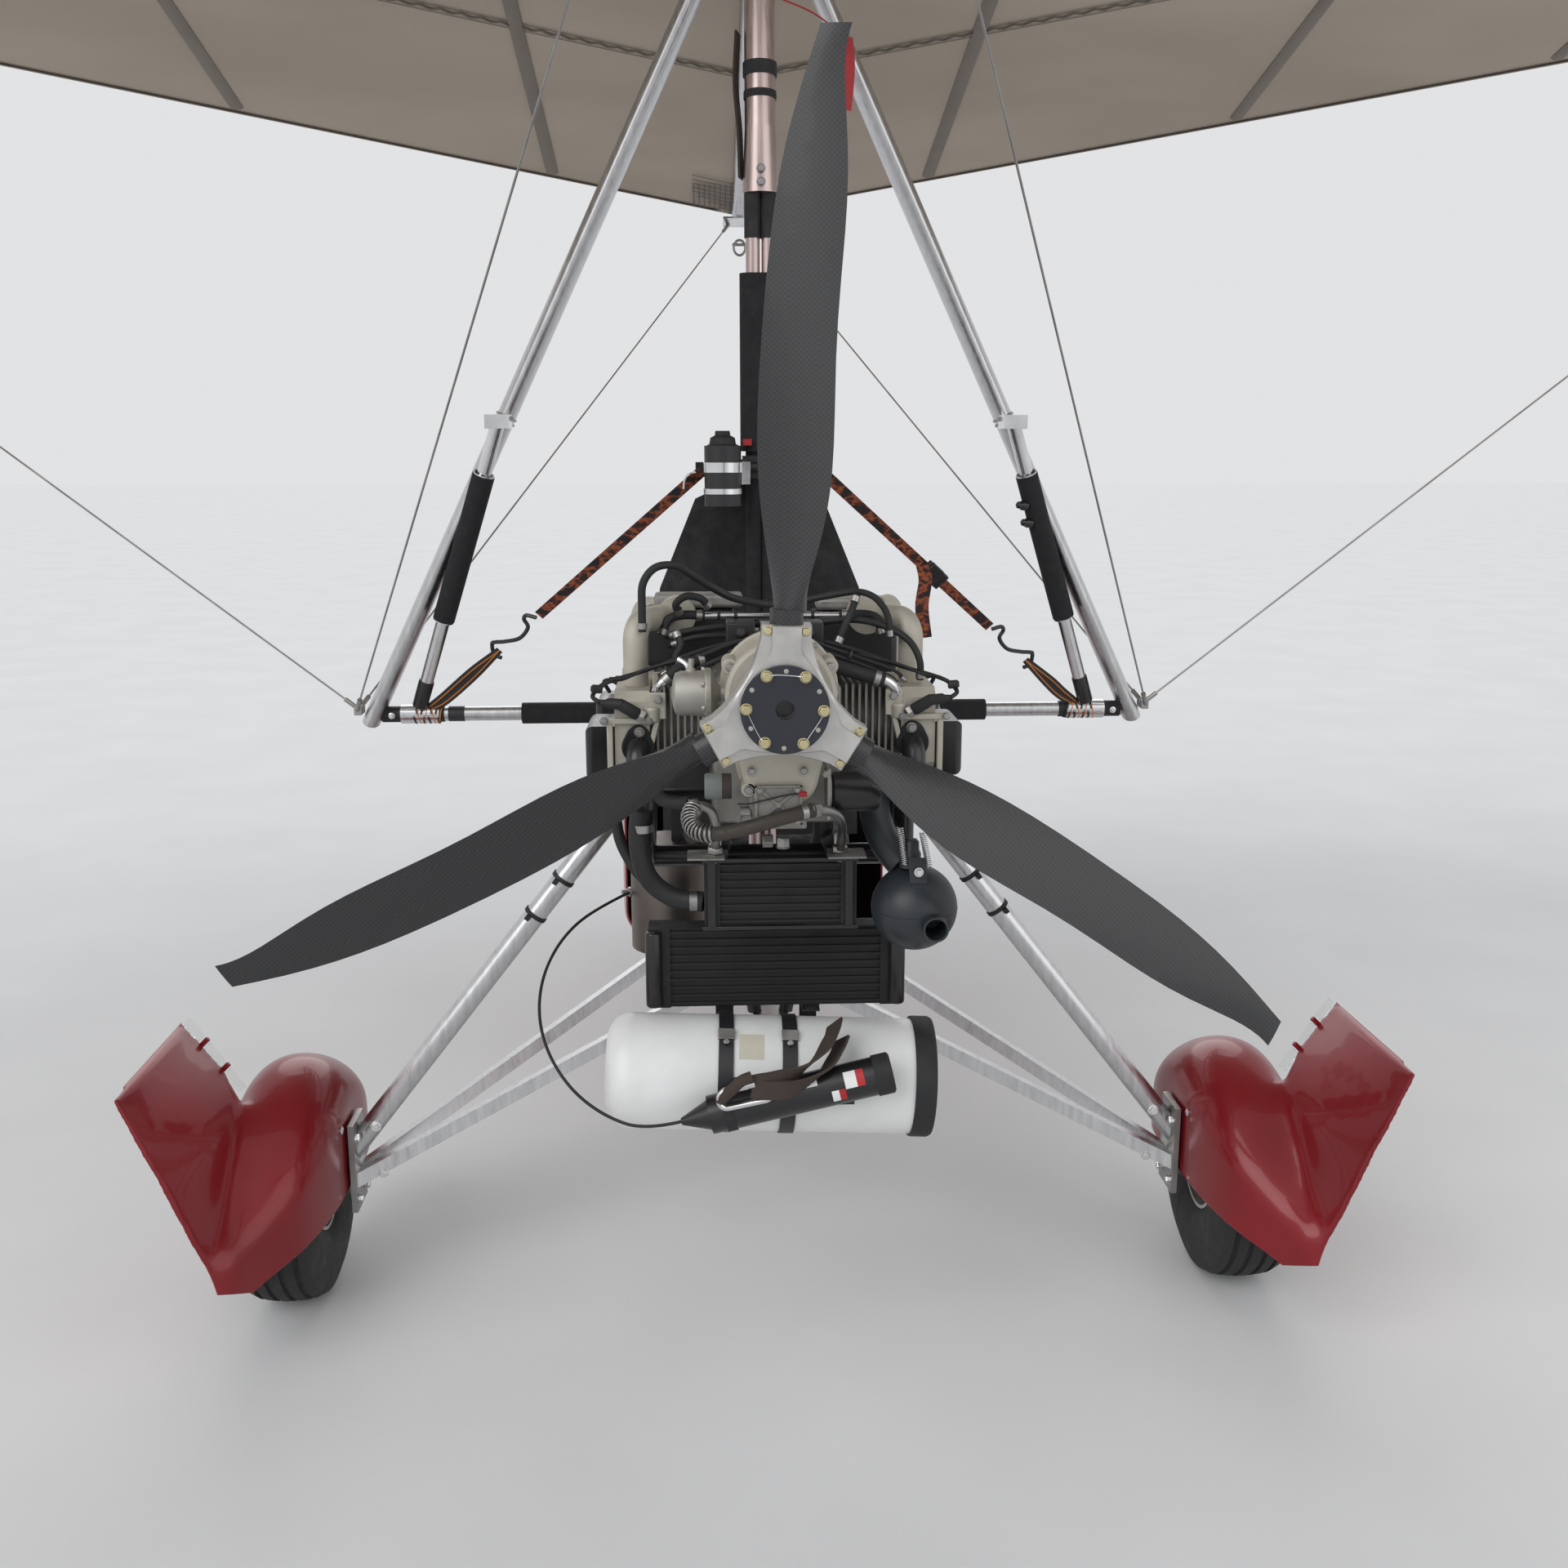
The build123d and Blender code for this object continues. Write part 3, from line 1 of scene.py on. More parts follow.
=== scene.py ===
from math import acos, atan2, copysign, cos, pi, radians, sin, sqrt, tan
import bmesh
import bpy
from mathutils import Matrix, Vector


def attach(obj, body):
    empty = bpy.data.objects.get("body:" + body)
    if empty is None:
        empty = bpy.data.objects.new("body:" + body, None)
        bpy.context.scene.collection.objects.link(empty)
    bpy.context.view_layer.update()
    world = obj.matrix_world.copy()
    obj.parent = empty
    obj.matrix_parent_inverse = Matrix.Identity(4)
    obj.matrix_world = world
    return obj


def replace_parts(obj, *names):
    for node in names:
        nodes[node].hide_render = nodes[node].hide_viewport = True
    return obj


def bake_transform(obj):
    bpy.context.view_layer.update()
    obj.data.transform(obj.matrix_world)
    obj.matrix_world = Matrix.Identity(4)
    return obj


# Two-seat weight-shift microlight: finishes, soft parts, hoses, straps and small fittings.
# Places are written as (to the right, ahead of the propeller, above the ground) in millimetres,
# and at() turns them into the frame's metres. Sizes are in millimetres too.

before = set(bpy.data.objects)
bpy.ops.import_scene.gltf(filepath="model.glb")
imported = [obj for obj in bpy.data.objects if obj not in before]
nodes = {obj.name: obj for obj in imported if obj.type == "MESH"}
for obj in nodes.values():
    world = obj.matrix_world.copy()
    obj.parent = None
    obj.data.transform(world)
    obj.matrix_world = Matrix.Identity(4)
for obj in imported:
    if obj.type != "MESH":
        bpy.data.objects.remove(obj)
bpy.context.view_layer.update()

PROP_BACK = 1054.925
PROP_HEIGHT = 1155
PROP_LEAN = 1.7
BLADE_STEP = 120
AXLE_AHEAD = 540
TRACK_HALF = 850
TYRE_RADIUS = 200
NOSE_TYRE_RADIUS = 165
STEER_RAKE = radians(20)
NOSE_AXLE_AHEAD = 2180 + (500 - NOSE_TYRE_RADIUS) * tan(STEER_RAKE)
MAST_AHEAD = 820
HANG_AHEAD = 845
BAR_AHEAD = 1170
BAR_HEIGHT = 950
UPRIGHT_FOOT = (806, 1170, 935)
UPRIGHT_TOP = (47, 905.5, 2419.5)
RIGHT = Vector((1, 0, 0))
AHEAD = Vector((0, 1, 0))
REAR = Vector((0, -1, 0))
UP = Vector((0, 0, 1))
SIDES = {-1: "left", 1: "right"}


def at(x, ahead, up):
    """Point of the frame, in metres."""
    return Vector((x, ahead - PROP_BACK, up)) / 1000


def spot(place):
    """A point in metres as it is, or one written in millimetres turned by at()."""
    return place if isinstance(place, Vector) else at(*place)


# Materials

FINISH = {}


def feed(tree, socket, value):
    """Links a node's output to a socket, or sets the socket's value."""
    if isinstance(value, bpy.types.NodeSocket):
        tree.links.new(value, socket)
    else:
        socket.default_value = value


def add(tree, kind, *first, **named):
    """New node, its inputs fed by place or by name."""
    node = tree.nodes.new("ShaderNode" + kind)
    for key, value in (*enumerate(first), *named.items()):
        feed(tree, node.inputs[key], value)
    return node


def shader(name, color, rough, metal=0, coat=0):
    """Starts a finish, and gives its shader and its node tree."""
    material = FINISH[name] = bpy.data.materials.new(name)
    material.use_nodes = True
    core = material.node_tree.nodes["Principled BSDF"]
    for key, value in (("Base Color", (*color, 1)), ("Roughness", rough), ("Metallic", metal),
                       ("Coat Weight", coat), ("Coat Roughness", 0.06)):
        core.inputs[key].default_value = value
    return core, material.node_tree


def coordinates(tree, scale):
    """Object coordinates, stretched by a scale along each axis."""
    places = add(tree, "TexCoord").outputs["Object"]
    return add(tree, "Mapping", Vector=places, Scale=scale).outputs["Vector"]


def noise(tree, scale, detail=4, stretch=(1, 1, 1)):
    vector = coordinates(tree, stretch)
    return add(tree, "TexNoise", Scale=scale, Detail=detail, Vector=vector).outputs["Fac"]


def ramp(tree, factor, stops):
    """Colour or grey from a factor, by stops of (place, colour)."""
    node = add(tree, "ValToRGB", Fac=factor)
    elements = node.color_ramp.elements
    while len(elements) < len(stops):
        elements.new(0.5)
    for element, (place, color) in zip(elements, stops):
        element.position = place
        element.color = (*color, 1)
    return node.outputs["Color"]


def bump(tree, core, height, strength, distance):
    relief = add(tree, "Bump", Strength=strength, Distance=distance, Height=height)
    feed(tree, core.inputs["Normal"], relief.outputs["Normal"])


def worn(name, color, rough, metal=0, coat=0, scale=18, change=0.12, grain=0, stretch=(1, 1, 1)):
    """Plain finish with soft changes of tone and gloss, and a fine grain where one is given."""
    core, tree = shader(name, color, rough, metal, coat)
    factor = noise(tree, scale, 5, stretch)
    dark = tuple(channel * (1 - change) for channel in color)
    light = tuple(min(1, channel * (1 + change)) for channel in color)
    dull = (max(0.03, rough * (1 - change)),) * 3
    shiny = (min(1, rough * (1 + 2 * change)),) * 3
    for key, low, high in (("Base Color", dark, light), ("Roughness", dull, shiny)):
        feed(tree, core.inputs[key], ramp(tree, factor, [(0.3, low), (0.7, high)]))
    if grain:
        bump(tree, core, noise(tree, 900, 2, stretch), grain, 0.0004)


def carbon():
    """Carbon weave: a fine checker of two dark tones under a satin skin."""
    core, tree = shader("carbon", (0.022, 0.022, 0.024), 0.4, coat=0.1)
    weave = add(tree, "TexChecker", Scale=290, Color1=(0.016, 0.016, 0.017, 1), Color2=(0.03, 0.03, 0.032, 1),
                Vector=coordinates(tree, (1, 0.2, 1)))
    feed(tree, core.inputs["Base Color"], weave.outputs["Color"])
    bump(tree, core, weave.outputs["Fac"], 0.2, 0.0003)


def cloth(name, color, rough, pattern, stops, weave, strength, depth):
    """Woven finish: soft tones from a noise, and a fine weave as bump."""
    core, tree = shader(name, color, rough)
    feed(tree, core.inputs["Base Color"], ramp(tree, noise(tree, *pattern), stops))
    bump(tree, core, noise(tree, weave, 1), strength, depth)


def math_node(tree, operation, *inputs):
    node = add(tree, "Math", *inputs)
    node.operation = operation
    return node.outputs[0]


LINING = (0.012, 0.012, 0.013, 1)


def candy(name, lined=False):
    """Deep red metallic lacquer under a clear coat, black on faces turned to the middle where lined."""
    core, tree = shader(name, (0.22, 0.008, 0.012), 0.34, metal=0.1, coat=0.32)
    core.inputs["Specular IOR Level"].default_value = 0.3
    tones = ramp(tree, noise(tree, 3, 3), [(0.3, (0.17, 0.005, 0.009)), (0.7, (0.26, 0.009, 0.014))])
    if lined:
        places = add(tree, "TexCoord")
        sideways = [add(tree, "SeparateXYZ", places.outputs[key]).outputs["X"]
                    for key in ("Object", "Normal")]
        outward = math_node(tree, "MULTIPLY", *sideways)
        mix = add(tree, "Mix")
        mix.data_type = "RGBA"
        for place, value in ((0, math_node(tree, "LESS_THAN", outward, -0.015)), (6, tones), (7, LINING)):
            feed(tree, mix.inputs[place], value)
        tones = mix.outputs[2]
    feed(tree, core.inputs["Base Color"], tones)


def clear(name, tint, rough):
    core, _ = shader(name, tint, rough)
    for key, value in (("Transmission Weight", 0.95), ("IOR", 1.2), ("Alpha", 0.35)):
        core.inputs[key].default_value = value


worn("tube", (0.56, 0.56, 0.57), 0.3, 1, stretch=(6, 6, 0.4))
worn("bright", (0.68, 0.68, 0.69), 0.2, 1)
worn("pink_tube", (0.52, 0.42, 0.4), 0.3, 1, stretch=(8, 8, 0.3), change=0.2)
worn("cast", (0.42, 0.405, 0.37), 0.55, 0.75, scale=45, grain=0.5)
worn("beige_cast", (0.5, 0.47, 0.4), 0.6, 0.5, scale=30, grain=0.5)
worn("iron", (0.3, 0.29, 0.27), 0.6, 0.7, scale=40, change=0.25, grain=0.5)
worn("hub_cast", (0.5, 0.49, 0.47), 0.42, 0.85, scale=30, grain=0.3)
worn("black", (0.018, 0.018, 0.02), 0.45, scale=24)
worn("satin", (0.012, 0.012, 0.013), 0.3, coat=0.1)
worn("core_black", (0.005, 0.005, 0.006), 0.6)
worn("rubber", (0.016, 0.016, 0.017), 0.62, change=0.2)
worn("foam", (0.014, 0.014, 0.016), 0.9, scale=60, grain=0.8)
worn("tyre", (0.02, 0.02, 0.021), 0.8, scale=30, change=0.25, grain=0.4)
worn("fabric", (0.016, 0.016, 0.018), 0.8, scale=50, grain=0.7)
worn("grey_paint", (0.19, 0.215, 0.205), 0.5, change=0.15)
worn("steel", (0.35, 0.34, 0.33), 0.35, 1, change=0.2)
# oil tank: brown-grey metal, made darker than its own colour as painted shade for the shadow it sits in
worn("tank", (0.17, 0.15, 0.135), 0.4, 0.9, scale=14, change=0.2)
worn("brass", (0.56, 0.5, 0.3), 0.35, 1)
worn("white", (0.78, 0.78, 0.77), 0.38, change=0.04)
worn("red", (0.42, 0.015, 0.02), 0.4)
worn("orange", (0.6, 0.2, 0.03), 0.7)
worn("brown_web", (0.05, 0.035, 0.028), 0.85, scale=90, grain=0.6)
worn("silencer", (0.027, 0.032, 0.037), 0.45, scale=9, change=0.2)
worn("disc", (0.013, 0.015, 0.024), 0.4, coat=0.15)
worn("band", (0.2, 0.175, 0.15), 0.8, scale=8)
worn("seam", (0.13, 0.105, 0.085), 0.9, scale=80)
worn("tank_plastic", (0.6, 0.57, 0.47), 0.5, change=0.06)
worn("brown_hose", (0.045, 0.037, 0.03), 0.6, scale=60, change=0.3)
worn("floor", (0.72, 0.72, 0.72), 0.9, scale=2, change=0.03)
candy("candy")
candy("candy_lined", lined=True)
carbon()
# beige cloth with faint soft folds painted as lighter and darker tones (painted shade), and strap webbing in
# bands of orange, brown and dark red
cloth("sailcloth", (0.41, 0.35, 0.285), 0.78, (1.1, 3, (1, 1.8, 1)),
      [(0.3, (0.36, 0.305, 0.245)), (0.7, (0.46, 0.395, 0.325))], 1500, 0.18, 0.0004)
cloth("webbing", (0.3, 0.08, 0.02), 0.85, (34, 3, (1, 1, 1.6)),
      [(0.42, (0.014, 0.011, 0.011)), (0.48, (0.085, 0.016, 0.013)), (0.53, (0.33, 0.09, 0.03)),
       (0.57, (0.16, 0.04, 0.02)), (0.62, (0.024, 0.014, 0.013))], 700, 0.4, 0.0005)
clear("screen", (0.85, 0.9, 0.92), 0.05)
clear("tab", (0.8, 0.82, 0.8), 0.2)

NODE_FINISH = {
    "candy": "spats nose_guard",
    "candy_lined": "pod",
    "tube": "keel_beam gear_struts wishbones keel_tube uprights base_bar hang_block",
    "pink_tube": "mast_lower mast_upper",
    "foam": "mast_pad",
    "black": "mast_bracket engine_mount nose_fork canister_rack instrument_panel",
    "core_black": "oil_cooler radiator",
    "satin": "valve_covers rocket_tube activation_cable exhaust",
    "bright": "hang_bracket nose_plate grips",
    "screen": "windscreen",
    "tank_plastic": "fuel_tank",
    "fabric": "seat_rear_base seat_rear_back seat_front_base seat_front_back",
    "iron": "engine_core engine_cylinders",
    "beige_cast": "engine_heads intake",
    "silencer": "silencer",
    "tank": "oil_tank",
    "white": "canister",
    "hub_cast": "prop_hub rim_left rim_right rim_nose",
    "disc": "prop_disc",
    "carbon": "prop_blades",
    "tyre": "tyre_left tyre_right tyre_nose",
    "sailcloth": "sail_left sail_right",
    "steel": "wires stub_axles",
}

for finish, names in NODE_FINISH.items():
    for name in names.split():
        nodes[name].data.materials.clear()
        nodes[name].data.materials.append(FINISH[finish])


# Lines

def smooth_line(points, steps=6):
    """Curve through points, rounded between them; one step keeps the points alone."""
    points = [spot(p) for p in points]
    if len(points) < 3:
        return points
    padded = [2 * points[0] - points[1], *points, 2 * points[-1] - points[-2]]
    line = []
    for a, b, c, d in zip(padded, padded[1:], padded[2:], padded[3:]):
        for k in range(steps):
            t = k / steps
            line.append(0.5 * (2 * b + (c - a) * t + (2 * a - 5 * b + 4 * c - d) * t ** 2
                               + (3 * b - a - 3 * c + d) * t ** 3))
    line.append(points[-1])
    return line


def even_line(line, step):
    """The same line with points at even distances."""
    result = [line[0]]
    left = step
    for a, b in zip(line, line[1:]):
        length = (b - a).length
        along = 0
        while length - along >= left:
            along += left
            result.append(a + (b - a) * (along / length))
            left = step
        left -= length - along
    return result


def between(start, end, share):
    """Point at a share of the way."""
    return start + (end - start) * share


def side_axes(axis, hint=UP):
    """Two directions square to an axis."""
    axis = Vector(axis).normalized()
    if abs(axis.dot(hint)) > 0.95:
        hint = RIGHT
    across = axis.cross(hint).normalized()
    return across, axis.cross(across).normalized()


def circle(middle, across, other, radius, sides):
    """Points round a middle."""
    return [middle + (across * cos(a) + other * sin(a)) * radius / 1000
            for a in (2 * pi * k / sides for k in range(sides))]


def directions(line):
    """Direction of a line at each of its points."""
    return [(after - before).normalized() for before, after in zip([line[0], *line], [*line[1:], line[-1]])]


def carried(line):
    """Each point of a line, with two directions square to the line that turn as little as they can."""
    across = side_axes(line[1] - line[0])[0]
    for middle, along in zip(line, directions(line)):
        across = (across - along * across.dot(along)).normalized()
        yield middle, across, along.cross(across)


def helix(points, radius, pitch, per_turn=12):
    """Points of a coil round a line."""
    line = even_line(smooth_line(points, 12), pitch / per_turn / 1000)
    turns = [2 * pi * k / per_turn for k in range(len(line))]
    return [middle + (across * cos(turn) + other * sin(turn)) * radius / 1000
            for turn, (middle, across, other) in zip(turns, carried(line))]


# Mesh pieces

class Piece:
    """Mesh built from simple forms, with one finish and one body."""

    def __init__(self, name, finish, body="trike"):
        self.name = name
        self.finish = finish
        self.body = body
        self.points = []
        self.faces = []

    def grid(self, rows, closed=False, ends=True):
        """Skin over rows of points, each row a loop or an open line."""
        base = len(self.points)
        count = len(rows[0])
        for row in rows:
            self.points.extend(spot(p) for p in row)
        for low in range(base, base + (len(rows) - 1) * count, count):
            for c in range(count if closed else count - 1):
                d = (c + 1) % count
                self.faces.append((low + c, low + d, low + count + d, low + count + c))
        if closed and ends:
            self.faces.append(tuple(base + c for c in reversed(range(count))))
            self.faces.append(tuple(base + (len(rows) - 1) * count + c for c in range(count)))
        return self

    def lathe(self, start, axis, profile, sides=24, ends=True):
        """Round form about an axis, by rows of (along, radius)."""
        start = spot(start)
        axis = Vector(axis).normalized()
        rows = [circle(start + axis * along / 1000, *side_axes(axis), radius, sides)
                for along, radius in profile]
        return self.grid(rows, closed=True, ends=ends)

    def hollow(self, start, axis, profile, sides=24):
        """Round form whose profile goes round a wall and back to its first point."""
        return self.lathe(start, axis, [*profile, profile[0]], sides, ends=False)

    def ring(self, middle, axis, inner, outer, width, sides=32):
        """Band round an axis."""
        start = spot(middle) - Vector(axis).normalized() * width / 2000
        return self.hollow(start, axis, [(0, inner), (0, outer), (width, outer), (width, inner)], sides)

    def rod(self, start, end, radius, sides=16, round_end=0):
        """Bar between two points, its ends rounded where wanted."""
        start, end = spot(start), spot(end)
        length = (end - start).length * 1000
        r = round_end
        half = [(0, radius - r), (0.3 * r, radius - 0.3 * r), (r, radius)] if r else [(0, radius)]
        profile = half + [(length - along, size) for along, size in reversed(half)]
        return self.lathe(start, end - start, profile, sides)

    def box(self, middle, size, x_axis=RIGHT, y_axis=AHEAD):
        x = Vector(x_axis).normalized()
        y = (Vector(y_axis) - x * Vector(y_axis).dot(x)).normalized()
        x, y, z = (axis * length / 2000 for axis, length in zip((x, y, x.cross(y)), size))
        rows = [[spot(middle) + x * sx + y * sy + z * sz for sx, sy in ((-1, -1), (1, -1), (1, 1), (-1, 1))]
                for sz in (-1, 1)]
        return self.grid(rows, closed=True)

    def pipe(self, points, radius, sides=12, steps=6):
        """Hose along points."""
        rows = [circle(*carrier, radius, sides) for carrier in carried(smooth_line(points, steps))]
        return self.grid(rows, closed=True)

    def ribbon(self, points, width, thick, wide, steps=6):
        """Flat strap along points, its width along a direction."""
        line = smooth_line(points, steps)
        wide = Vector(wide)
        rows = []
        for middle, along in zip(line, directions(line)):
            across = (wide - along * wide.dot(along)).normalized() * width / 2000
            up = along.cross(across).normalized() * thick / 2000
            rows.append([middle - across - up, middle + across - up, middle + across + up,
                         middle - across + up])
        return self.grid(rows, closed=True)

    def hex_bolt(self, middle, axis, across_flats, height, washer=0):
        middle = spot(middle)
        if washer:
            self.lathe(middle, axis, [(0, washer), (1.5, washer)], 20)
            middle = middle + Vector(axis).normalized() * 0.0015
        corner = across_flats / sqrt(3)
        return self.lathe(middle, axis, [(0, corner), (0.8 * height, corner), (height, 0.88 * corner)], 6)

    def make(self, bevel=0, sharp=35):
        """The object itself, on its body."""
        mesh = bpy.data.meshes.new(self.name)
        mesh.from_pydata([tuple(p) for p in self.points], [], self.faces)
        mesh.materials.append(FINISH[self.finish])
        mesh.validate()
        mesh.shade_smooth()
        mesh.set_sharp_from_angle(angle=radians(sharp))
        thing = shown(self.name, mesh)
        if bevel:
            edge = thing.modifiers.new("Edges", "BEVEL")
            edge.width = bevel / 1000
            edge.segments = 2
            edge.limit_method = "ANGLE"
        if self.body:
            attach(thing, self.body)
        return thing


def shown(name, data):
    """New object in the scene."""
    thing = bpy.data.objects.new(name, data)
    bpy.context.scene.collection.objects.link(thing)
    return thing


def boxes(name, finish, bevel, *places):
    """Piece of boxes on the trike, each by its middle and its size."""
    piece = Piece(name, finish)
    for middle, size in places:
        piece.box(middle, size)
    piece.make(bevel)


# Camera, at the photograph's place

# place, degrees down and to the right, and focal length
CAMERA_PLACE = (-105, -2077, 1500)
CAMERA_DOWN = 12.3
CAMERA_RIGHT = 2.9
LENS = 35.62


def camera():
    data = bpy.data.cameras.new("camera")
    data.lens = LENS
    data.sensor_width = 36
    data.clip_start = 0.05
    data.clip_end = 200
    eye = shown("camera", data)
    eye.location = at(*CAMERA_PLACE)
    eye.rotation_euler = (radians(90 - CAMERA_DOWN), 0, radians(-CAMERA_RIGHT))
    bpy.context.scene.camera = eye


# Activation cable of the rescue system

CABLE_RADIUS = 2.5
ROCKET_START = at(-106, 97, 518)
ROCKET_END = at(167, 97, 581)
ROCKET_TAPER = 44
CABLE_FIRST_RUN = 57
CABLE_ROUTE = ((-266, 122, 508), (-320, 160, 536), (-360, 212, 578), (-378, 270, 622), (-373, 330, 668),
               (-345, 395, 708), (-298, 455, 734), (-240.3, 544, 738))


def activation_cable():
    along = (ROCKET_START - ROCKET_END).normalized()
    tail = ROCKET_START + along * ROCKET_TAPER / 1000
    points = [tail, tail + along * CABLE_FIRST_RUN / 1000] + [at(*p) for p in CABLE_ROUTE]
    data = bpy.data.curves.new("cable_line", "CURVE")
    data.dimensions = "3D"
    data.bevel_depth = CABLE_RADIUS / 1000
    data.bevel_resolution = 4
    data.use_fill_caps = True
    line = data.splines.new("NURBS")
    line.points.add(len(points) - 1)
    for point, place in zip(line.points, points):
        point.co = (*place, 1)
    line.order_u = 3
    line.use_endpoint_u = True
    line.resolution_u = 16
    data.materials.append(FINISH["rubber"])
    thing = shown("activation_cable_line", data)
    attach(thing, "trike")
    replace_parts(thing, "activation_cable")
    socket = Piece("cable_socket", "steel")
    socket.lathe(CABLE_ROUTE[-1], (-1, -0.35, 0), [(0, 9), (4, 9), (4, 6), (16, 6)], 6).make()


# Propeller

def prop_point(angle, radius, ahead):
    """Point by its angle from straight up and its distance from the propeller's axis."""
    turn = radians(angle)
    return at(radius * sin(turn), ahead, PROP_HEIGHT + radius * cos(turn))


ARM_REACH = 112
HUB_HALF = 27
HUB_EAR_FACE = -18
HUB_BORE = 13
# radius and end of the flange and of the shaft
HUB_FLANGE = (50, 47)
HUB_SHAFT = (22.5, 95)
# half width, shoulder and waist of the three-armed outline and of the ridge on it
HUB_EAR = (33.5, 95, 65)
HUB_RIDGE = (20, 78, 62)
DISC_FACE = -35
DISC_BOLT_RADIUS = 52
# angles from an arm's middle line at which the hub's outline has a point
HUB_ANGLES = (-60, -53, -46, -39, -32, -26, -21, -19.425, -16.65, -13.5, -10.125, -5, 0, 5, 10.125, 13.5,
              16.65, 19.425, 21, 26, 32, 39, 46, 53)


def hub_radius(angle, half, shoulder, waist):
    """Reach of the three-armed outline at an angle from an arm's middle line."""
    turn = radians(abs(angle))
    if turn <= atan2(half, ARM_REACH):
        return ARM_REACH / cos(turn)
    if turn <= atan2(half, shoulder):
        return half / sin(turn)
    corner = Vector((half, shoulder)).length
    off = radians(60) - atan2(half, shoulder)
    middle = (corner ** 2 - waist ** 2) / (2 * (corner * cos(off) - waist))
    curve = middle - waist
    aside = radians(60) - turn
    return middle * cos(aside) - copysign(sqrt(max(0, curve ** 2 - (middle * sin(aside)) ** 2)), middle)


def hub_row(ahead, shape, inset=0):
    """Loop about the propeller's axis: a circle by its radius, or a three-armed outline by its sizes."""
    points = []
    for arm in range(3):
        for angle in HUB_ANGLES:
            reach = hub_radius(angle, *shape) - inset if isinstance(shape, tuple) else shape
            points.append(prop_point(PROP_LEAN + BLADE_STEP * arm + angle, reach, ahead))
    return points


def propeller_hub():
    """Clamp with hollow sides between its arms, a raised ridge on its rear face, a flange and the shaft."""
    flange, flange_end = HUB_FLANGE
    shaft, shaft_end = HUB_SHAFT
    rows = ((flange_end - 8, HUB_BORE), (-HUB_HALF, HUB_BORE), (-HUB_HALF, HUB_RIDGE, 2.5),
            (-HUB_HALF + 1.5, HUB_RIDGE, 1), (HUB_EAR_FACE - 1, HUB_RIDGE), (HUB_EAR_FACE, HUB_EAR, 1.6),
            (HUB_EAR_FACE + 1.6, HUB_EAR), (HUB_HALF - 1.6, HUB_EAR), (HUB_HALF, HUB_EAR, 1.6),
            (HUB_HALF, flange), (flange_end, flange), (flange_end, shaft), (shaft_end, shaft))
    hub = Piece("hub_clamp", "hub_cast", "propeller").grid([hub_row(*row) for row in rows], closed=True)
    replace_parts(hub.make(sharp=28), "prop_hub")


def propeller_fittings():
    """Bolts and dowels of the disc, bolts of the arms, a black disc deep in the bore as painted shade, and
    the lock wire.
    """
    bolts = Piece("disc_bolts", "brass", "propeller")
    dowels = Piece("disc_dowels", "cast", "propeller")
    for k in range(6):
        bolts.hex_bolt(prop_point(PROP_LEAN + 30 + 60 * k, DISC_BOLT_RADIUS, DISC_FACE), REAR, 12.5, 7, 8.2)
        dowels.lathe(prop_point(PROP_LEAN + 60 * k, DISC_BOLT_RADIUS, DISC_FACE), REAR,
                     [(-3, 3.4), (0.4, 3.4), (1, 2.6)], 16)
    bolts.make(0.4)
    dowels.make()
    clamp_bolts = Piece("clamp_bolts", "brass", "propeller")
    wire = Piece("lock_wire", "bright", "propeller")
    for k in range(3):
        turn = PROP_LEAN + BLADE_STEP * k
        aside = Vector((cos(radians(turn)), 0, -sin(radians(turn))))
        for offset in (0.0255, -0.0255):
            clamp_bolts.hex_bolt(prop_point(turn, 104, HUB_EAR_FACE) + aside * offset, REAR, 10, 6, 6.5)
        wire.pipe([prop_point(turn - 30 + on, DISC_BOLT_RADIUS - drop, DISC_FACE - out)
                   for on, drop, out in ((0, 0, 7), (15, 3, 2), (45, 4, 2), (60, 0, 7))], 0.8, 6)
    clamp_bolts.make(0.4)
    # black disc inside the hub's bore: painted shade that darkens the hole
    bore_shade = Piece("bore_shade_disc", "satin", "propeller")
    bore_shade.lathe(prop_point(0, 0, -14), AHEAD, [(0, 12.5), (8, 12.5)], 32).make()
    wire.make()


# Wheels

TYRE_WIDTH = 140
TYRE_BEAD = 80.3
NOSE_TYRE_WIDTH = 100
NOSE_TYRE_BEAD = 68.3
# places of the grooves as shares of the half width, and the profile of one as (across, deep)
GROOVES = (-0.57, -0.2, 0.2, 0.57)
GROOVE_PROFILE = ((-5, 0), (-3.4, 5), (3.4, 5), (5, 0))


def grooved_tyre(word, middle, radius, width, inner):
    """Tyre with four grooves round its tread."""
    half = width / 2
    shoulder = radius - 15
    wall = [(-0.74 * half, inner), (-0.9 * half, inner + 14), (-half, (radius + inner) / 2),
            (-0.97 * half, shoulder - 18), (-0.86 * half, shoulder + 2)]
    crown = []
    for groove in GROOVES:
        for offset, depth in GROOVE_PROFILE:
            across = groove * half + offset
            crown.append((across, radius - 11 * (across / half) ** 2 - depth - 0.5))
    outline = wall + crown + [(-across, r) for across, r in reversed(wall)]
    piece = Piece("tread_" + word, "tyre", "wheel_" + word).hollow(middle, RIGHT, outline, 72)
    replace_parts(piece.make(sharp=40), "tyre_" + word)


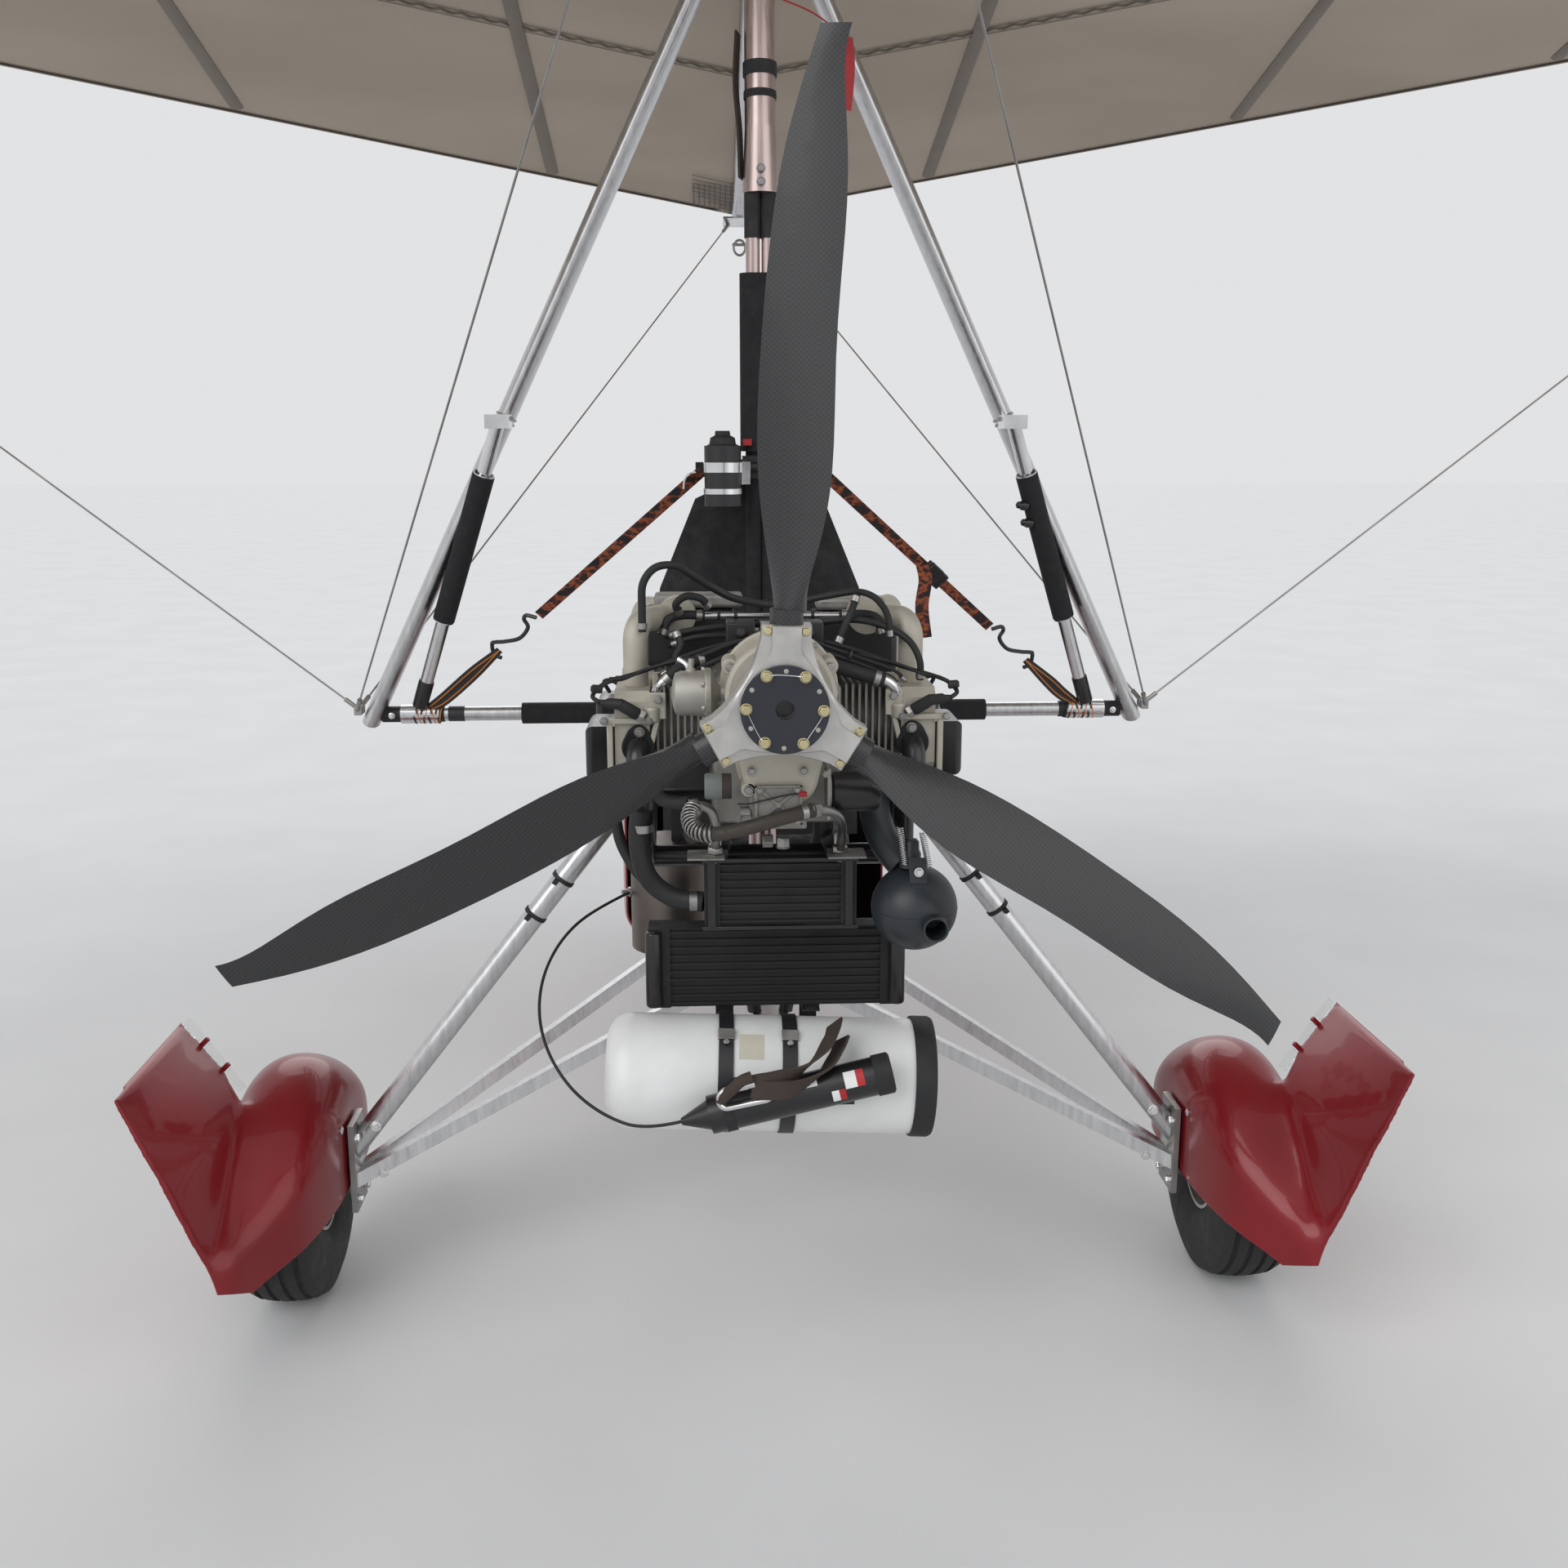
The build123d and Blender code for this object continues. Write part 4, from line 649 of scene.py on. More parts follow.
def wheels():
    for side, word in SIDES.items():
        middle = at(side * TRACK_HALF, AXLE_AHEAD, TYRE_RADIUS)
        grooved_tyre(word, middle, TYRE_RADIUS, TYRE_WIDTH, TYRE_BEAD)
        nuts = Piece("wheel_nuts_" + word, "steel", "wheel_" + word)
        for turn in (2 * pi * k / 5 for k in range(5)):
            place = middle + Vector((side * 7, 50 * sin(turn), 50 * cos(turn))) / 1000
            nuts.hex_bolt(place, side * RIGHT, 13, 7, 9)
        nuts.make(0.4)
    middle = at(0, NOSE_AXLE_AHEAD, NOSE_TYRE_RADIUS)
    grooved_tyre("nose", middle, NOSE_TYRE_RADIUS, NOSE_TYRE_WIDTH, NOSE_TYRE_BEAD)


# Seats

BACK_LOW = 742
BACK_SHOULDER = 1230
BACK_TOP = 1448
BACK_COLUMNS = 30
BACK_LEVELS = 46
BACK_AHEAD = 922
BACK_HALF = 193
BACK_TAPER = 90
BACK_PUFF = 27
CUSHION_POINTS = 48
CUSHION_ROUND = 0.42
# share of a cushion's side, and how far the side is drawn in there
CUSHION_SIDE = ((0, 10), (0.05, 3), (0.25, 0), (0.5, 0.5), (0.56, 3), (0.62, 0.5), (0.85, 1.5), (0.96, 9))
# share of a cushion's crown, and how far it is drawn in there
CUSHION_CROWN = ((0.5, 25), (0.8, 60), (1, 110))


def back_half_width(height):
    """Half of the rear backrest's width at a height."""
    share = max(0, (height - BACK_SHOULDER) / (BACK_TOP - BACK_SHOULDER))
    return BACK_HALF - BACK_TAPER * (share + max(0, share - 0.8) / 0.2)


def seat_back():
    """Rear backrest, quilted in channels."""
    piece = Piece("rear_back_cushion", "fabric")
    for front in (-1, 1):
        rows = []
        for level in (k / BACK_LEVELS for k in range(BACK_LEVELS + 1)):
            height = BACK_LOW + (BACK_TOP - BACK_LOW) * level
            row = []
            for share in (2 * k / BACK_COLUMNS - 1 for k in range(BACK_COLUMNS + 1)):
                puff = (1 - abs(share) ** 6) * (1 - abs(2 * level - 1) ** 10)
                quilt = 0.82 + 0.18 * abs(sin(pi * 2.5 * share)) * abs(cos(pi * 5 * level)) ** 0.3
                ahead = BACK_AHEAD + front * BACK_PUFF * puff * quilt
                row.append((share * back_half_width(height), ahead, height))
            rows.append(row[::-front])
        piece.grid(rows)
    thing = piece.make(sharp=80)
    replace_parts(thing, "seat_rear_back")


def cushion(name, replaced, middle, size, bulge):
    """Seat cushion with rounded sides, a crowned top and a seam round it."""
    x, ahead, low = middle
    width, depth, height = size
    side = height - bulge
    rows = []
    for up, inset in ([(share * side, inset) for share, inset in CUSHION_SIDE]
                      + [(side + share * bulge, inset) for share, inset in CUSHION_CROWN]):
        row = []
        for turn in (2 * pi * k / CUSHION_POINTS for k in range(CUSHION_POINTS)):
            across, along = (copysign(abs(value) ** CUSHION_ROUND, value) for value in (cos(turn), sin(turn)))
            row.append((x + across * (width / 2 - inset), ahead + along * (depth / 2 - inset), low + up))
        rows.append(row)
    thing = Piece(name, "fabric").grid(rows, closed=True).make(sharp=70)
    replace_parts(thing, replaced)


def seats():
    seat_back()
    cushion("rear_cushion", "seat_rear_base", (0, 1120, 664.6), (380, 340, 60), 8)
    cushion("front_cushion", "seat_front_base", (0, 1570, 540.3), (370, 400, 70), 8)
    cushion("front_back_cushion", "seat_front_back", (0, 1342, 540.3), (350, 50, 235), 6)


# Engine fittings

def sided(side, ahead, *points):
    """Places on one side, written for the right side and from a place ahead."""
    return [(side * x, ahead + y, z) for x, y, z in points]


def spread(low, high, count):
    """Values from low to high in even steps."""
    return [low + (high - low) * k / count for k in range(count + 1)]


# place ahead of each side's rear head, at its rear face
HEAD_REAR = {-1: 210.5, 1: 230.5}
# radius and points of each hose
HOSES = (
    (6, ((-200, 262, 1226), (-200, 262, 1262), (-198, 263, 1298), (-180, 269, 1321), (-152, 281, 1324),
         (-127, 300, 1309), (-94, 320, 1287), (-60, 335, 1269), (-10, 346, 1258), (24, 350, 1258))),
    (5.2, ((4, 352, 1254), (50, 345, 1264), (87, 330, 1273), (127, 315, 1280), (151, 300, 1275),
           (167, 290, 1259), (175, 285, 1240), (178, 282, 1212))),
    (7.2, ((-106, 340, 1242), (-140, 338, 1243), (-163, 332, 1236), (-172, 328, 1212))),
    (7.2, ((104, 340, 1241), (140, 336, 1243), (162, 328, 1237), (170, 322, 1212))),
    (5, ((-168, 335, 1210), (-122, 330, 1221), (-60, 330, 1227), (-10, 330, 1229), (40, 330, 1226))),
    (4.6, ((-164, 330, 1196), (-122, 325, 1210), (-70, 325, 1213), (-23, 325, 1214), (30, 326, 1218))),
    (5.4, ((16, 325, 1222), (48, 320, 1228), (95, 308, 1237), (139, 300, 1237), (179, 285, 1226),
           (207, 270, 1207), (221, 262, 1179), (222, 264, 1150))),
    (5.6, ((128, 306, 1276), (118, 296, 1250), (106, 288, 1226), (96, 282, 1204))),
    (2.6, ((40, 244, 1220), (70, 240, 1208), (120, 240, 1190), (179, 242, 1168), (198, 250, 1150))),
    (2.6, ((40, 240, 1211), (70, 237, 1199), (118, 237, 1182), (172, 240, 1160), (190, 250, 1142))),
    (11.2, ((52, 246, 1190), (77, 236, 1180), (120, 231, 1167), (163, 230, 1154))),
    (9, ((-108, 246, 1186), (-130, 238, 1182), (-152, 232, 1170), (-167, 230, 1155))),
    (4, ((-176, 252, 1160), (-140, 244, 1181), (-100, 240, 1197), (-60, 244, 1212), (-24, 252, 1220))),
    (4, ((-168, 254, 1148), (-130, 242, 1168), (-88, 236, 1186), (-50, 240, 1202), (-18, 250, 1210))),
    (5, ((-150, 262, 1226), (-142, 254, 1208), (-150, 246, 1190), (-142, 240, 1174))),
    (6, ((-146, 330, 1246), (-150, 322, 1262), (-134, 318, 1274), (-112, 322, 1270), (-100, 330, 1256))),
)
# radius and points of each bright elbow
ELBOWS = (
    (8, ((-162, 230, 1160), (-172, 230, 1152), (-180, 233, 1138), (-182, 238, 1118))),
    (9, ((158, 230, 1157), (172, 230, 1150), (182, 234, 1136), (185, 240, 1116))),
    (5, ((-146, 236, 1188), (-134, 230, 1180), (-130, 228, 1168))),
)
# radius, sides and points of each water hose
WATER_HOSES = (
    (15.5, 18, ((-186, 240, 1010), (-206, 234, 960), (-210, 230, 900), (-196, 230, 850), (-160, 224, 822),
                (-112, 214, 816))),
    (13, 16, ((178, 300, 1010), (196, 330, 950), (200, 330, 880), (196, 300, 800), (198, 285, 760))),
    (10, 14, ((-130, 140, 989), (-150, 156, 986), (-172, 180, 986), (-196, 220, 1000))),
    (9, 14, ((-240, 300, 1000), (-248, 290, 950), (-242, 280, 900), (-222, 270, 860), (-205, 262, 840))),
)

# written for the right side, ahead of a head's rear plug
SPARK_LEAD = ((273, 8, 1138), (262, 30, 1150), (238, 46, 1158), (205, 50, 1167), (165, 48, 1181),
              (110, 50, 1200), (50, 62, 1214))
SENSOR_WIRE = ((262, 4, 1150), (246, 10, 1160), (226, 34, 1160), (190, 44, 1174), (128, 46, 1190))


def engine_hoses():
    """Hoses behind the intake with their clips, the balance tube and its elbows."""
    hoses = Piece("engine_hoses", "rubber")
    clips = Piece("hose_clips", "steel")
    for radius, points in HOSES:
        hoses.pipe(points, radius)
        for end, inner in (points[:2], points[:-3:-1]):
            end, inner = at(*end), at(*inner)
            clips.ring(between(end, inner, 0.25), inner - end, radius, radius + 1.4, 9, 20)
    hoses.make()
    clips.make()
    tube = Piece("balance_tube", "bright").rod((-112, 340, 1242), (110, 340, 1241), 5.2)
    for radius, points in ELBOWS:
        tube.pipe(points, radius, 16)
    tube.make()
    ties = Piece("hose_joints", "black")
    for x in (-84, -58, 62):
        ties.ring((x, 340, 1242), RIGHT, 5, 7, 5, 20)
    for place, axis, radius in (((-10, 346, 1258), RIGHT, 6.6), ((112, 240, 1192), (1, 0, -0.4), 9)):
        ties.ring(place, axis, radius - 1.5, radius, 4, 20)
    ties.make()


def ignition():
    """Spark leads from the coils in the middle, with boots at the heads."""
    leads = Piece("spark_leads", "rubber")
    boots = Piece("spark_boots", "rubber")
    plugs = Piece("spark_plugs", "steel")
    for side in SIDES:
        for front, ahead in enumerate((HEAD_REAR[side] - 14, HEAD_REAR[side] + 214)):
            joints = sided(side, ahead, (206, 4, 1110), (232, -2, 1127), (262, -2, 1130))
            inner, bend, outer = (at(*p) for p in joints)
            boots.lathe(inner, bend - inner, [(0, 8), (3, 9.5), (30, 9), (33, 7)], 16)
            boots.lathe(bend, outer - bend, [(-6, 6), (-3, 8.6), (18, 8), (22, 5.5), (30, 4.6)], 16)
            plugs.hex_bolt(*sided(side, ahead, (198, 6, 1106)), (side, 0, 0.6), 18, 9)
            if front:
                leads.pipe([outer, *sided(side, ahead, (270, 0, 1126), (262, 10, 1108))], 3.4, 10)
                continue
            leads.pipe([outer, *sided(side, ahead, *SPARK_LEAD)], 3.4, 10)
            leads.pipe(sided(side, ahead, *SENSOR_WIRE), 2.4, 8)
            boots.lathe(*sided(side, ahead, (258, 2, 1149)), (side, -0.2, 0.1),
                        [(0, 5), (2, 6.5), (14, 6.5), (17, 4)], 12)
    leads.make()
    boots.make()
    plugs.make(0.3)
    coils = Piece("ignition_coils", "black")
    for x in (-52, 0, 52):
        coils.box((x, 300, 1218), (44, 70, 40))
        coils.lathe((x, 262, 1222), (0, -1, 0.2), [(0, 9), (14, 8), (24, 6)], 14)
    coils.make(2)


# height and radius of the two circles in the gearbox's outline
GEARBOX_CIRCLES = ((1155, 87), (1044, 62))
GEARBOX_REAR = 75
# places ahead of the flange's two faces
GEARBOX_FLANGE = (150, 164)
# place, radius and length of each boss, size of its bolt and of the washer
GEARBOX_BOSSES = (
    ((-42, 74, 1050), 10, 70, 9, 6.5),
    ((-71, 104, 1194), 12, 60, 10, 7),
    ((32, 74, 1050), 10, 70, 9, 6.5),
    ((71, 104, 1194), 12, 60, 10, 7),
    ((-46, 75, 1022), 11, 60, 10, 7),
)
# half width, both ends, and the heights of the bottom, the shoulder and the top
CRANKCASE_HALF = 95
CRANKCASE_AHEAD = (190, 720)
CRANKCASE_HEIGHTS = (945, 1150, 1190)


def egg(ahead, inset, steps=26):
    """Gearbox outline at a place ahead, smaller all round by the inset."""
    (top, large), (low, small) = GEARBOX_CIRCLES
    tangent = pi - acos((large - small) / (top - low))
    arcs = ((top, large, -tangent, tangent), (low, small, tangent, 2 * pi - tangent))
    return [at((radius - inset) * sin(turn), ahead, height + (radius - inset) * cos(turn))
            for height, radius, start, end in arcs for turn in spread(start, end, steps)]


def engine_case():
    """Crankcase, and the egg-shaped gearbox with its bolted flange and the nose round the shaft."""
    gearbox = Piece("gearbox_case", "beige_cast")
    gearbox.grid([egg(GEARBOX_REAR, 13), egg(GEARBOX_REAR + 5, 8), egg(CRANKCASE_AHEAD[0], 8)], closed=True)
    start, end = GEARBOX_FLANGE
    gearbox.grid([egg(start, 1.5), egg(start + 1.5, 0), egg(end - 1.5, 0), egg(end, 1.5)], closed=True)
    gearbox.hollow((0, 56, PROP_HEIGHT), AHEAD, [(0, 23.5), (0, 43), (3, 46), (21, 46), (21, 23.5)], 40)
    for place, radius, length, _, _ in GEARBOX_BOSSES:
        gearbox.lathe(place, AHEAD, [(0, radius - 1), (2, radius), (length, radius)], 20)
    thing = gearbox.make(0.8)
    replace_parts(thing, "engine_core")
    boxes("gearbox_sump", "iron", 3, ((-4, 131, 1003), (82, 106, 80)))
    low, shoulder, high = CRANKCASE_HEIGHTS
    top_half = CRANKCASE_HALF - (high - shoulder)
    outline = ((-CRANKCASE_HALF, low), (CRANKCASE_HALF, low), (CRANKCASE_HALF, shoulder), (top_half, high),
               (-top_half, high), (-CRANKCASE_HALF, shoulder))
    case = Piece("crankcase", "iron")
    case.grid([[(x, ahead, z) for x, z in outline] for ahead in CRANKCASE_AHEAD], closed=True).make(4)
    boxes("air_box", "black", 10, ((-132, 440, 1200), (146, 60, 96)), ((132, 440, 1190), (146, 60, 100)))
    boxes("air_box_lid", "iron", 6, ((-116, 430, 1258), (142, 56, 22)), ((128, 430, 1252), (110, 56, 20)))


def gearbox_fittings():
    """Ribbed cover with its bolts, the pump, the filter and the starter's end."""
    middle = at(-4, 74, 1001)

    def on_cover(x, ahead, z):
        return middle + Vector((x, ahead, z)) / 1000

    cover = Piece("lower_cover", "iron").box(middle, (66, 8, 56))
    bolts = Piece("cover_bolts", "steel")
    for slope in (1, -1):
        cover.box(on_cover(0, -5, 0), (78, 5, 4), (0.76, 0, slope * 0.64))
    for x, z, width, height in ((0, 27, 68, 4), (0, -27, 68, 4), (32, 0, 4, 58), (-32, 0, 4, 58)):
        cover.box(on_cover(x, -5, z), (width, 6, height))
    cover.lathe(on_cover(0, -3, 0), REAR, [(0, 5), (5, 5), (6, 4)], 16)
    for x in (-27, 27):
        for z in (-22, 22):
            cover.lathe(on_cover(x, -3, z), REAR, [(0, 6.5), (5, 6.5), (6, 5.5)], 16)
            bolts.hex_bolt(on_cover(x, -9, z), REAR, 7, 3)
    cover.make(0.8)
    for place, _, _, size, washer in GEARBOX_BOSSES:
        bolts.hex_bolt(place, REAR, size, 5, washer)
    for place in egg(GEARBOX_FLANGE[0], 4.5)[::6]:
        bolts.hex_bolt(place, REAR, 8, 5)
    bolts.make(0.3)
    nut = Piece("wire_nut", "red")
    nut.lathe((24, 62, 1019), (1, 0, -0.1), [(0, 2.5), (2, 4), (9, 4), (12, 3)], 14).make()
    wire = ((25, 62, 1019), (4, 63, 1016), (-22, 63, 1010), (-46, 66, 1004), (-62, 74, 1002))
    Piece("sensor_lead", "rubber").pipe(wire, 1.3, 8).make()
    pump = Piece("fuel_pump", "cast")
    profile = [(0, 21), (4, 22), (7, 20), (7, 11), (26, 11), (36, 24), (40, 36), (47, 37), (49, 36), (49, 33),
               (84, 32.5), (92, 29), (95, 20), (97, 8)]
    pump.lathe((-58, 150, 1150), -RIGHT, profile, 40)
    pump.box((-84, 150, 1150), (40, 8, 34))
    for turn in (2 * pi * (k + 0.5) / 6 for k in range(6)):
        pump.hex_bolt((-107, 150 + 34.5 * cos(turn), 1150 + 34.5 * sin(turn)), -RIGHT, 7, 5)
    pump.lathe((-128, 150, 1178), (0.1, 0, 1), [(0, 7), (8, 7), (9, 4.5), (22, 4.5)], 16).make(0.5)
    filters = Piece("oil_filter", "satin")
    profile = [(0, 24), (4, 29), (56, 29.5), (64, 29), (70, 26), (72, 18)]
    filters.lathe((76, 138, 1005), RIGHT, profile, 40).make()
    holder = Piece("filter_holder", "cast").box((71, 138, 1006), (5, 56, 76))
    holder.lathe((72, 138, 1005), RIGHT, [(0, 27), (4, 27)], 32)
    holder.hex_bolt((66, 116, 1036), REAR, 10, 7).make(1)
    starter = Piece("starter_end", "grey_paint")
    starter.lathe((-84, 112, 1020), -RIGHT, [(0, 19), (22, 19), (25, 17)], 32).make()
    band = Piece("starter_band", "brown_hose")
    band.lathe((-70, 112, 1020), -RIGHT, [(0, 17), (0.5, 18.6), (14, 18.6)], 32).make()


def oil_lines():
    """Hoses and steel elbows between the engine and the coolers."""
    bend = ((-96, 67, 960), (-108, 72, 960), (-121, 83, 962), (-129, 97, 969), (-130, 112, 978),
            (-124, 126, 986))
    run = ((46, 68, 993), (28, 61, 991), (-3, 57, 984), (-34, 57, 975), (-65, 60, 966), (-84, 63, 962))
    Piece("oil_hose", "brown_hose").pipe(run + bend, 10.5, 16).make()
    Piece("hose_spring", "steel").pipe(helix(bend, 12.2, 6.2), 1.8, 6, 1).make()
    elbows = Piece("steel_elbows", "steel")
    elbows.pipe(((-124, 142, 985), (-112, 146, 983), (-100, 152, 974), (-94, 162, 956), (-93, 178, 932),
                 (-94, 192, 900)), 7, 16)
    elbows.pipe(((44, 68, 993), (58, 78, 991), (77, 98, 982), (89, 124, 964), (94, 154, 940), (95, 180, 914),
                 (95, 192, 900)), 7, 16)
    elbows.make()
    fittings = Piece("hose_fittings", "steel")
    for x in (-94, 95):
        for z, size, tall in ((886, 26, 12), (899, 22, 10), (912, 19, 18)):
            fittings.hex_bolt((x, 193, z), UP, size, tall)
    for start, axis in (((42, 67, 993), (1, 0.4, 0)), ((-134, 140, 986), (1, 0.2, 0)), ((6, 140, 920), UP),
                        ((-24, 150, 928), RIGHT), ((-58, 84, 986), RIGHT)):
        fittings.hex_bolt(start, axis, 18, 14, 11)
    fittings.ring((32, 63, 992), (1, 0.3, 0.1), 10.4, 12, 9).make(0.4)
    boxes("cooler_shelves", "iron", 0.6, ((-108, 192, 896), (56, 54, 3)), ((104, 192, 896), (58, 54, 3)))
    water = Piece("water_hoses", "rubber")
    for radius, sides, points in WATER_HOSES:
        water.pipe(points, radius, sides)
    water.make()
    clips = Piece("water_clips", "steel").ring((-206, 232, 930), UP, 15.5, 17.1, 12)
    clips.ring((-128, 217, 817), RIGHT, 15.5, 17.1, 12).make()


HEAD_STEP = 220
# middle of each rib on a head, its size, and its slope
HEAD_RIBS = (((226, -3, 1100), (70, 10, 9), 0), ((249, -2, 1046), (9, 8, 110), 0),
             ((186, -2, 1070), (8, 8, 60), 0.25), ((178, -1, 1122), (26, 6, 40), 0))
FLANGE_RADIUS = 25
FLANGE_LOBE = 8.5


def flange_row(face, side, back, inset):
    """Round outline with one lobe upwards."""
    rows = []
    for turn in (2 * pi * k / 36 for k in range(36)):
        lobe = FLANGE_LOBE * max(0, cos(1.5 * min(turn, 2 * pi - turn))) ** 2
        reach = FLANGE_RADIUS + lobe - inset
        rows.append(face + Vector((side * reach * sin(turn), -back, reach * cos(turn))) / 1000)
    return rows


def exhaust_flanges():
    """Black flanges with their pipes at the heads' rear, the ribs of the heads and their bolts."""
    flanges = Piece("head_plates", "satin")
    bolts = Piece("head_bolts", "steel")
    ribs = Piece("head_ribs", "beige_cast")
    for side in SIDES:
        for rear in (HEAD_REAR[side], HEAD_REAR[side] + HEAD_STEP):
            face = at(side * 207, rear, 1060)
            flanges.grid([flange_row(face, side, *row) for row in ((0, 0), (5, 0), (6.5, 1.5))], closed=True)
            flanges.pipe(sided(side, rear, (207, 0, 1058), (207, -12, 1056), (207, -24, 1044),
                               (206, -26, 1020), (205, -10, 990), (205, 34, 962)), 17.5, 24)
            bolts.hex_bolt(*sided(side, rear, (205, -6, 1083)), REAR, 11, 7, 8)
            for place, size, slope in HEAD_RIBS:
                ribs.box(*sided(side, rear, place), size, (1, 0, side * slope))
            ribs.lathe(*sided(side, rear, (185, 2, 1118)), UP, [(-20, 12), (0, 13), (3, 10)], 20)
            for x, height in ((257, 1101), (190, 1101), (257, 1000), (176, 1132)):
                bolts.hex_bolt((side * x, rear - 8, height), REAR, 9, 5, 6.5)
    flanges.make(0.6)
    bolts.make(0.3)
    ribs.make(1.5)


def cooler_details():
    """Frame round the oil cooler, rounded ends of the radiator and the rubber feet's ribs."""
    plates = Piece("cooler_frames", "satin")
    for height in (891, 785):
        plates.box((4, 176.5, height), (236, 4, 6))
    for side in SIDES:
        plates.box((4 + side * 104, 176.5, 838), (12, 4, 104))
        plates.rod((side * 192, 254, 633), (side * 192, 254, 757), 13, 20, 4)
    plates.make(0.8)
    feet = Piece("radiator_foot_ribs", "rubber")
    for x in (-81, 57):
        for k in range(3):
            feet.ring((x, 280, 621.5 + 3.6 * k), UP, 10, 14.5, 2.2, 24)
    feet.make()


def silencer_details():
    """Weld seam, the neck from the exhaust, the hanger strap and its two springs."""
    seam = Piece("silencer_seam", "silencer")
    seam.hollow((205, 160, 820), UP, [(-1, 64.6), (0, 65.6), (1, 64.6)], 56)
    seam.pipe(((150, 262, 1000), (152, 232, 946), (166, 205, 908), (190, 176, 880)), 24, 24)
    seam.lathe((196, 150, 884), (0.05, 0.1, 1), [(0, 16), (22, 16), (28, 13), (40, 12), (44, 8)], 24).make()
    strap = ((204, 128, 905), (204, 124, 892), (205, 122, 880), (205, 118, 868))
    Piece("silencer_hangers", "silencer").ribbon(strap, 26, 4, RIGHT).make(0.4)
    springs = Piece("silencer_springs", "bright")
    for ends in (((180, 150, 946), (186, 130, 894)), ((214, 150, 938), (222, 128, 890))):
        springs.pipe(helix(ends, 4.2, 3.2), 1.1, 6, 1)
    springs.hex_bolt((205, 116, 886), (0, -1, 0.1), 9, 5, 7).make()


# Rescue canister

CANISTER_MIDDLE = at(-13, 220, 532)
CANISTER_RADIUS = 90
CANISTER_TILT = radians(2.5)
CANISTER_AXIS = Vector((cos(CANISTER_TILT), 0, -sin(CANISTER_TILT)))
CANISTER_UP = Vector((sin(CANISTER_TILT), 0, cos(CANISTER_TILT)))
# points of the bridle's two straps, down to the quick link
BRIDLE = (
    ((86, 158, 637), (78, 122, 632), (58, 92, 612), (24, 66, 596), (-16, 56, 588), (-44, 55, 582)),
    ((96, 140, 618), (84, 112, 606), (60, 82, 586), (20, 60, 574), (-20, 54, 574), (-44, 55, 578)),
)
# white or red, ends along the rocket's tube, angles from its top to the rear
ROCKET_PLATES = (("white", 208, 226, 35, 85), ("red", 226, 238, 35, 85), ("white", 186, 197, 82, 118),
                 ("red", 197, 207, 82, 118), ("white", 104, 168, 34, 56))


def on_canister(along, angle, extra=0):
    """Point on the canister's side: along it from its middle, turned from its top to the rear."""
    out = CANISTER_UP * cos(radians(angle)) + REAR * sin(radians(angle))
    return CANISTER_MIDDLE + CANISTER_AXIS * along / 1000 + out * (CANISTER_RADIUS + extra) / 1000


def canister_details():
    """Cap band, clips, blank plates, the rocket's cap, the quick link and the bridle."""
    axis = CANISTER_AXIS
    cap = Piece("canister_cap_band", "rubber")
    cap.hollow(CANISTER_MIDDLE + axis * 0.222, axis, [(0, 90.1), (0, 93.5), (3, 94.5), (28, 94.5), (33, 92),
                                                      (33.5, 86), (33.5, 40), (33, 40)], 56).make()
    buckles = Piece("band_clips", "steel")
    for along in (-70, 28):
        buckles.box(on_canister(along, 30, 4), (26, 18, 5), axis, (0, 0.6, 0.5))
        buckles.hex_bolt(on_canister(along, 40, 5), (0, -0.7, 0.7), 9, 7)
    buckles.make(0.6)
    plate = [[on_canister(along, angle, 0.5) for along in (-50, -12)] for angle in range(28, 56, 3)]
    Piece("canister_plate", "tank_plastic").grid(plate).make()
    along = (ROCKET_END - ROCKET_START).normalized()
    up = (UP - along * along.z).normalized()
    labels = {"white": Piece("rocket_plates", "white"), "red": Piece("rocket_red_plates", "red")}
    for tone, low, high, start, end in ROCKET_PLATES:
        rows = []
        for angle in spread(radians(start), radians(end), 8):
            out = up * cos(angle) + REAR * sin(angle)
            rows.append([ROCKET_START + along * place / 1000 + out * 29.5 / 1000 for place in (low, high)])
        labels[tone].grid(rows)
    for piece in labels.values():
        piece.make()
    caps = Piece("rocket_cap", "rubber")
    caps.lathe(ROCKET_END - along * 0.026, along, [(0, 29.2), (0, 31), (24, 31), (27, 27), (27.5, 12)], 36)
    caps.ring(ROCKET_START + along * 0.03, along, 29.2, 31, 14).make()
    points = []
    for turn in spread(0, 2 * pi, 32):
        off = (26 if cos(turn) > 0 else -26) + 15 * cos(turn)
        points.append((off - 52, 58, 566 + 0.2 * off + 15 * sin(turn)))
    link = Piece("quick_link", "bright").pipe(points, 4.6, 12, 1)
    link.rod((-66, 58, 578), (-40, 58, 584), 7).make()
    bridle = Piece("bridle", "brown_web")
    for points in BRIDLE:
        bridle.ribbon(points, 30, 4, (0.75, 0, 0.65))
    bridle.pipe(((-92, 62, 556), (-76, 54, 574), (-60, 52, 590), (-44, 54, 596)), 9, 10).make()


# Mast

# place across and ahead of the bottle beside the mast
BOTTLE = (-71, 765)
BOTTLE_RADIUS = 33.2


